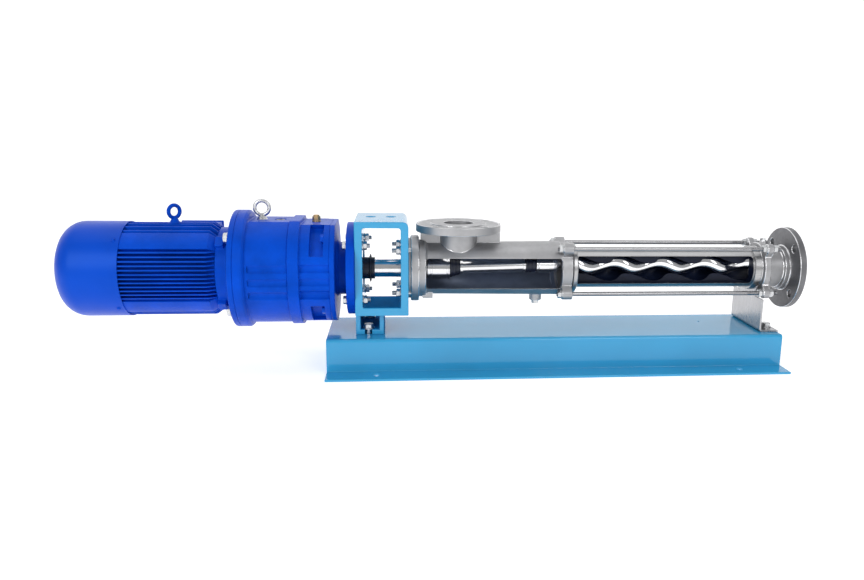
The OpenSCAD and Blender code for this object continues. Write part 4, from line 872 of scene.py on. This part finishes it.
class PUMP_OT_mould_rubber(FinishOperator, bpy.types.Operator):
    """Moulds the stator's rubber with its twisted slot and its cut"""
    bl_idname = "pump.mould_rubber"
    bl_label = "Mould the stator rubber"

    def execute(self, context):
        s = sizes()
        low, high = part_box("stator_rubber")
        x0, x1, radius = low[0], high[0], high[1]
        body = ruled_mesh("stator_rubber_finished", [
            ring_of_points(x, 0.0, s.shaft_height, radius, RUBBER_COLUMNS) for x in (x0, x1)])
        cut_away(body, self.slot_core(s, x0 - CUT_PAST, x1 + CUT_PAST))
        cut_away(body, self.window(s, x0 + WINDOW_FROM_START, x1 - WINDOW_FROM_END))
        put_in_place(body, "stator_rubber", smooth_to=30.0)
        return {"FINISHED"}

    def slot_core(self, s, x0, x1):
        """The shape that the rotor sweeps: a slot with round ends that twists along the shaft"""
        radius, reach = s.rotor_radius + RUBBER_GAP, 2 * s.rotor_offset
        half_turn = [math.radians(-90 + 180 * k / END_STEPS) for k in range(END_STEPS + 1)]
        outline = []
        for side in (1, -1):
            outline += [(side * (reach + radius * math.cos(a)), side * radius * math.sin(a))
                        for a in half_turn]
            outline += [(side * reach * (1 - 2 * k / SIDE_STEPS), side * radius)
                        for k in range(1, SIDE_STEPS)]
        rows = int((x1 - x0) / s.rotor_pitch * TURN_STEPS)
        rings = []
        for row in range(rows + 1):
            x = x0 + (x1 - x0) * row / rows
            angle = math.pi / 2 + math.pi * (x - s.rotor_phase) / s.rotor_pitch
            c, w = math.cos(angle), math.sin(angle)
            rings.append([(x, u * c - v * w, s.shaft_height + u * w + v * c) for u, v in outline])
        return ruled_mesh("slot_core", rings)

    def window(self, s, x0, x1):
        """A block with round corners that cuts the window in front"""
        half, corner = WINDOW_HALF, WINDOW_CORNER
        outline = []
        for x, z, start in ((x1, half, 0), (x0, half, 90), (x0, -half, 180), (x1, -half, 270)):
            middle_x = x - corner if x == x1 else x + corner
            middle_z = z - corner if z > 0 else z + corner
            for k in range(CORNER_STEPS + 1):
                angle = math.radians(start + 90 * k / CORNER_STEPS)
                outline.append((middle_x + corner * math.cos(angle), middle_z + corner * math.sin(angle)))
        return ruled_mesh("window_cutter", [
            [(x, y, s.shaft_height + z) for x, z in outline] for y in WINDOW_DEPTHS])


# Each boot's start and end: place along the shaft, lift over its axis, and radius
BOOTS = {
    "drive_boot": ((-0.2386, 0.0, 0.0215), (-0.215, 0.00143, 0.0170)),
    "rotor_boot": ((-0.069, 0.00569, 0.0170), (-0.0454, 0.0070, 0.0170)),
}
BOOT_BORE = 0.0147
BOOT_RIBS, RIB_HEIGHT, LIP_ROUNDING = 3, 0.0011, 0.0006
BOOT_ROWS, BORE_ROWS = 40, 6


def ribbed_outside(r0, r1):
    """Ribs on a smooth passage from one radius to the other, with rounded lips"""
    outside = []
    for k in range(BOOT_ROWS + 1):
        share = k / BOOT_ROWS
        smooth = share * share * (3 - 2 * share)
        rib = RIB_HEIGHT * (1 - math.cos(math.tau * share * BOOT_RIBS)) / 2
        lip = LIP_ROUNDING if k in (0, BOOT_ROWS) else 0.0
        outside.append((share, r0 + (r1 - r0) * smooth - RIB_HEIGHT + rib - lip))
    return outside


class PUMP_OT_make_boots(FinishOperator, bpy.types.Operator):
    """Makes the two ribbed rubber boots on the coupling rod"""
    bl_idname = "pump.make_boots"
    bl_label = "Make the boots"

    def execute(self, context):
        h = sizes().shaft_height
        for node, ((x0, lift0, r0), (x1, lift1, r1)) in BOOTS.items():
            bore = [(1.0 - k / BORE_ROWS, BOOT_BORE) for k in range(BORE_ROWS + 1)]
            piece = leaning_lathe(node + "_finished", ribbed_outside(r0, r1) + bore,
                                  (x0, 0, h + lift0), (x1, 0, h + lift1))
            put_in_place(piece, node, smooth_to=40.0)
        return {"FINISHED"}


ALONG, AGAINST, UP, DOWN = (1, 0, 0), (-1, 0, 0), (0, 0, 1), (0, 0, -1)
# Sizes of the screws, and of the round heads of those inside the gear cases
M8, M10, M12, ROUND_HEAD = 0.008, 0.010, 0.012, 0.013
# Places of the seats along the shaft
SHIELD_SEAT, POCKET_SEAT, OUTPUT_SEAT, LANTERN_BACK = -0.6935, -0.5035, -0.459, -0.4255
STUD_START, LANTERN_FRONT = -0.348, -0.3455
CASING_SEAT, RING_BACK, RING_FACE, ROD_START, ROD_LENGTH = 0.006, 0.467, 0.482, 0.030, 0.402
SCREW_START, SCREW_LENGTH, HEAD_START, HEAD_LENGTH = -0.595, 0.039, -0.557, 0.008
# Bolt circles of the motor's flange, the output flange, the case's pockets and the screws inside it
SHIELD_CIRCLE, OUTPUT_CIRCLE, POCKET_CIRCLE, SCREW_CIRCLE = 0.215, 0.165, 0.212, 0.196
# Half the spacing of the lantern's studs and of the tie rods, and a thread's own start from its nut's seat
STUD_OFFSET, TIE_OFFSET, THREAD_STEP = 0.046, 0.050, 0.001
# Seats of the lantern's and the bracket's foot bolts: place along the shaft, half their spacing, height
LANTERN_FOOT, BRACKET_FOOT, UNDER_BASE = (-0.415, 0.048, 0.0865), (0.488, 0.042, 0.079), 0.070
# Core of the tie rods between their threads
TIE_CORE = 0.0096
# Plugs: seat of the drain, place and distance from the shaft of the one on the neck, and its lean
DRAIN_SEAT, NECK_PLUG_X, NECK_PLUG_OUT, NECK_PLUG_LEAN = (-0.044, 0, 0.138), 0.493, 0.060, math.radians(20)
DRAIN_SIZE, NECK_PLUG_SIZE, PLUG_LENGTH = 0.013, 0.0115, 0.009
BREATHER_SEAT = (-0.5245, 0, 0.311)
# Rows for each turn of a thread, and columns round it
THREAD_ROWS, THREAD_COLUMNS = 6, 25


def bolt_circle(x, diameter):
    """Four places on a bolt circle, between the top and the sides of the shaft"""
    angles = [math.radians(45.0 + 90.0 * k) for k in range(4)]
    axis = sizes().shaft_height
    return [(x, diameter / 2 * math.cos(a), axis + diameter / 2 * math.sin(a)) for a in angles]


def square_corners(x, offset):
    """The corners of a square round the shaft"""
    return bolt_circle(x, 2 * offset * math.sqrt(2))


def on_both_sides(seat):
    x, y, z = seat
    return [(x, -y, z), (x, y, z)]


class PUMP_OT_make_fasteners(FinishOperator, bpy.types.Operator):
    """Makes the bolts, nuts, studs, plugs and tie rods with their chamfers, washers and threads"""
    bl_idname = "pump.make_fasteners"
    bl_label = "Make the fasteners"

    def execute(self, context):
        bolt = fastener_tree("hexagon_bolt", BOLT_ROWS, BOLT_FLATS)
        nut = fastener_tree("hexagon_nut", NUT_ROWS, BOLT_FLATS)
        head = fastener_tree("plain_bolt", PLAIN_HEAD_ROWS, BOLT_FLATS)
        rod = fastener_tree("plain_rod", ROD_ROWS, ROD_FLATS)
        plug = fastener_tree("pipe_plug", PLUG_ROWS, PLUG_FLATS)
        breather = fastener_tree("breather", BREATHER_ROWS, BREATHER_FLATS)
        thread = self.thread = thread_tree()
        # Each group has its tree, the places of its seats, the way it points, its size and its length
        self.make_node("motor_flange_bolts", [
            (bolt, bolt_circle(SHIELD_SEAT, SHIELD_CIRCLE), AGAINST, M12, 0.030)])
        self.make_node("output_flange_bolts", [
            (bolt, bolt_circle(OUTPUT_SEAT, OUTPUT_CIRCLE), AGAINST, M10, 0.036),
            (nut, bolt_circle(LANTERN_BACK, OUTPUT_CIRCLE), ALONG, M10, 0.0),
            (thread, bolt_circle(LANTERN_BACK + THREAD_STEP, OUTPUT_CIRCLE), ALONG, M10, 0.015)])
        self.make_node("lantern_studs", [
            (rod, square_corners(STUD_START, STUD_OFFSET), ALONG, M10, 0.0375),
            (nut, square_corners(LANTERN_FRONT, STUD_OFFSET), AGAINST, M10, 0.0),
            (thread, square_corners(LANTERN_FRONT - THREAD_STEP, STUD_OFFSET), AGAINST, M10, 0.018)])
        feet = on_both_sides(LANTERN_FOOT), on_both_sides(BRACKET_FOOT)
        under = [(x, y, UNDER_BASE) for x, y, z in feet[0] + feet[1]]
        self.make_node("foot_bolts", [
            (bolt, feet[0], UP, M12, 0.020), (bolt, feet[1], UP, M12, 0.0125), (nut, under, DOWN, M12, 0.0),
            (thread, [(x, y, z - THREAD_STEP) for x, y, z in under], DOWN, M12, 0.013)])
        self.make_node("case_screws", [
            (head, bolt_circle(POCKET_SEAT, POCKET_CIRCLE), AGAINST, M10, 0.0218),
            (rod, bolt_circle(SCREW_START, SCREW_CIRCLE), ALONG, M8, SCREW_LENGTH),
            (rod, bolt_circle(HEAD_START, SCREW_CIRCLE), ALONG, ROUND_HEAD, HEAD_LENGTH)])
        self.make_node("tie_rod_nuts", [
            (nut, square_corners(RING_FACE, TIE_OFFSET), ALONG, M10, 0.0),
            (nut, square_corners(CASING_SEAT, TIE_OFFSET), AGAINST, M10, 0.0),
            (nut, square_corners(RING_BACK, TIE_OFFSET), AGAINST, M10, 0.0)])
        self.make_node("tie_rods", [
            (rod, square_corners(ROD_START, TIE_OFFSET), ALONG, TIE_CORE, ROD_LENGTH),
            (thread, square_corners(ROD_START + ROD_LENGTH - THREAD_STEP, TIE_OFFSET), ALONG, M10, 0.071),
            (thread, square_corners(ROD_START + THREAD_STEP, TIE_OFFSET), AGAINST, M10, 0.037)])
        lean = (0, math.sin(NECK_PLUG_LEAN), math.cos(NECK_PLUG_LEAN))
        neck_seat = (NECK_PLUG_X, NECK_PLUG_OUT * lean[1], sizes().shaft_height + NECK_PLUG_OUT * lean[2])
        self.make_node("pipe_plugs", [
            (plug, [DRAIN_SEAT], DOWN, DRAIN_SIZE, PLUG_LENGTH),
            (plug, [neck_seat], lean, NECK_PLUG_SIZE, PLUG_LENGTH)])
        self.make_node("breather_plug", [(breather, [BREATHER_SEAT], UP, M12, 0.008)])
        return {"FINISHED"}

    def make_node(self, node, groups):
        """Grows the groups of a node's fasteners and joins them in one piece"""
        s = sizes()
        made = []
        for index, (tree, places, direction, size, length) in enumerate(groups):
            values = {"Size": size, "Length": length}
            if tree is self.thread:
                values = {"Length": length, "Radius": size / 2, "Depth": s.thread_depth,
                          "Pitch": s.thread_pitch, "Rows": int(length / s.thread_pitch * THREAD_ROWS),
                          "Columns": THREAD_COLUMNS}
            name = f"{node}_{index}"
            made.append(grown(name, tree, values, finish_for(node), points_mesh(name, places, direction)))
        put_in_place(join_pieces(node + "_finished", made), node, smooth_to=28.0)


# The camera as fitted to the photograph: its place, its turn, and in pixels its focal length and the
# shift of its axis from the middle of the picture
CAMERA_PLACE = Vector((-0.35265, -1.67088, 0.52479))
CAMERA_YAW, CAMERA_PITCH, CAMERA_ROLL = (math.radians(a) for a in (6.372, 12.589, 1.088))
PHOTO_WIDTH = 864
FOCAL_PIXELS = 768.766
SHIFT_PIXELS = (-49.31, 4.26)
SENSOR_WIDTH = 36.0
# The floor reaches this far to the sides and the front, and bends up into a wall behind
FLOOR_REACH, BEND_RADIUS, WALL_AT, WALL_TOP, BEND_STEPS = 9.0, 1.4, 3.6, 7.0, 24
FLOOR_COLOUR, FLOOR_GLOW = (0.88, 0.88, 0.88), 0.5
# The light from all round
AMBIENT_COLOUR, AMBIENT_STRENGTH = (0.97, 0.98, 1.0, 1.0), 0.38
# Each lamp: place, point that it looks at, width, height and power
LAMPS = {
    "ceiling": ((-0.2, 0.1, 2.2), (-0.2, 0.0, 0.2), 3.4, 1.2, 14.0),
    "front_left": ((-1.9, -2.0, 1.3), (-0.5, 0.0, 0.2), 1.2, 1.4, 24.0),
    "front_right": ((0.9, -2.2, 1.5), (0.1, 0.0, 0.2), 1.2, 1.4, 17.0),
}


class PUMP_OT_build_stage(FinishOperator, bpy.types.Operator):
    """Sets the floor, the lights and the camera of the studio"""
    bl_idname = "pump.build_stage"
    bl_label = "Build the stage"

    def execute(self, context):
        scene = context.scene
        self.add_camera(scene)
        self.add_floor()
        self.add_lights(scene)
        scene.view_settings.view_transform = "Standard"
        scene.view_settings.look = "None"
        return {"FINISHED"}

    def add_camera(self, scene):
        """A camera at the photograph's viewing angle"""
        forward = Vector((math.sin(CAMERA_YAW) * math.cos(CAMERA_PITCH),
                          math.cos(CAMERA_YAW) * math.cos(CAMERA_PITCH), -math.sin(CAMERA_PITCH)))
        side = Vector((math.cos(CAMERA_YAW), -math.sin(CAMERA_YAW), 0.0))
        up = side.cross(forward)
        right = side * math.cos(CAMERA_ROLL) + up * math.sin(CAMERA_ROLL)
        top = up * math.cos(CAMERA_ROLL) - side * math.sin(CAMERA_ROLL)
        data = bpy.data.cameras.new("photo_camera")
        data.sensor_width = SENSOR_WIDTH
        data.lens = FOCAL_PIXELS / PHOTO_WIDTH * SENSOR_WIDTH
        data.shift_x, data.shift_y = (pixels / PHOTO_WIDTH for pixels in SHIFT_PIXELS)
        camera = bpy.data.objects.new("photo_camera", data)
        turn = Matrix((right, top, -forward)).transposed()
        camera.matrix_world = Matrix.Translation(CAMERA_PLACE) @ turn.to_4x4()
        scene.collection.objects.link(camera)
        scene.camera = camera

    def add_floor(self):
        """A pale floor that curves up into a wall far behind the pump"""
        angles = [math.radians(90 * k / BEND_STEPS) for k in range(BEND_STEPS + 1)]
        bend = [(WALL_AT - BEND_RADIUS + BEND_RADIUS * math.sin(a), BEND_RADIUS - BEND_RADIUS * math.cos(a))
                for a in angles]
        profile = [(-FLOOR_REACH, 0.0), *bend, (WALL_AT, WALL_TOP)]
        mesh = bpy.data.meshes.new("floor")
        with editing(mesh) as work:
            left, right = ([work.verts.new((x, y, z)) for y, z in profile]
                           for x in (-FLOOR_REACH, FLOOR_REACH))
            for k in range(len(profile) - 1):
                work.faces.new((left[k], right[k], right[k + 1], left[k + 1]))
        floor = mesh_object("floor", mesh)
        shade_by_angle(mesh, 40.0)
        pale = Finish("pale_floor", FLOOR_COLOUR, roughness=0.7)
        pale.feed_shader("Emission Color", (1.0, 1.0, 1.0, 1.0))
        pale.feed_shader("Emission Strength", FLOOR_GLOW)
        give_finish(floor, pale.material)

    def add_lights(self, scene):
        """An even, pale surrounding and three soft lamps"""
        world = bpy.data.worlds.new("studio")
        world.use_nodes = True
        background = world.node_tree.nodes["Background"]
        background.inputs["Color"].default_value = AMBIENT_COLOUR
        background.inputs["Strength"].default_value = AMBIENT_STRENGTH
        scene.world = world
        for name, (place, aim, width, height, power) in LAMPS.items():
            data = bpy.data.lights.new(name, "AREA")
            data.shape = "RECTANGLE"
            data.size = width
            data.size_y = height
            data.energy = power
            lamp = bpy.data.objects.new(name, data)
            lamp.location = place
            lamp.rotation_euler = (Vector(aim) - Vector(place)).to_track_quat("-Z", "Y").to_euler()
            scene.collection.objects.link(lamp)


class PUMP_PT_panel(bpy.types.Panel):
    """Lists the pump's operators"""
    bl_label = "Pump"
    bl_idname = "PUMP_PT_panel"
    bl_space_type = "VIEW_3D"
    bl_region_type = "UI"
    bl_category = "Pump"

    def draw(self, context):
        for operator in OPERATORS:
            self.layout.operator(operator.bl_idname)


OPERATORS = (
    PUMP_OT_paint_nodes,
    PUMP_OT_round_castings,
    PUMP_OT_make_rotor,
    PUMP_OT_mould_rubber,
    PUMP_OT_make_boots,
    PUMP_OT_make_fasteners,
    PUMP_OT_build_stage,
)
CLASSES = (PumpSizes, PumpColours, *OPERATORS, PUMP_PT_panel)


def register():
    for item in CLASSES:
        bpy.utils.register_class(item)
    bpy.types.Scene.pump_sizes = PointerProperty(type=PumpSizes)
    bpy.types.Scene.pump_colours = PointerProperty(type=PumpColours)


def unregister():
    del bpy.types.Scene.pump_colours
    del bpy.types.Scene.pump_sizes
    for item in reversed(CLASSES):
        bpy.utils.unregister_class(item)


def main():
    register()
    for operator in OPERATORS:
        group, name = operator.bl_idname.split(".")
        getattr(getattr(bpy.ops, group), name)()


if __name__ == "__main__":
    main()
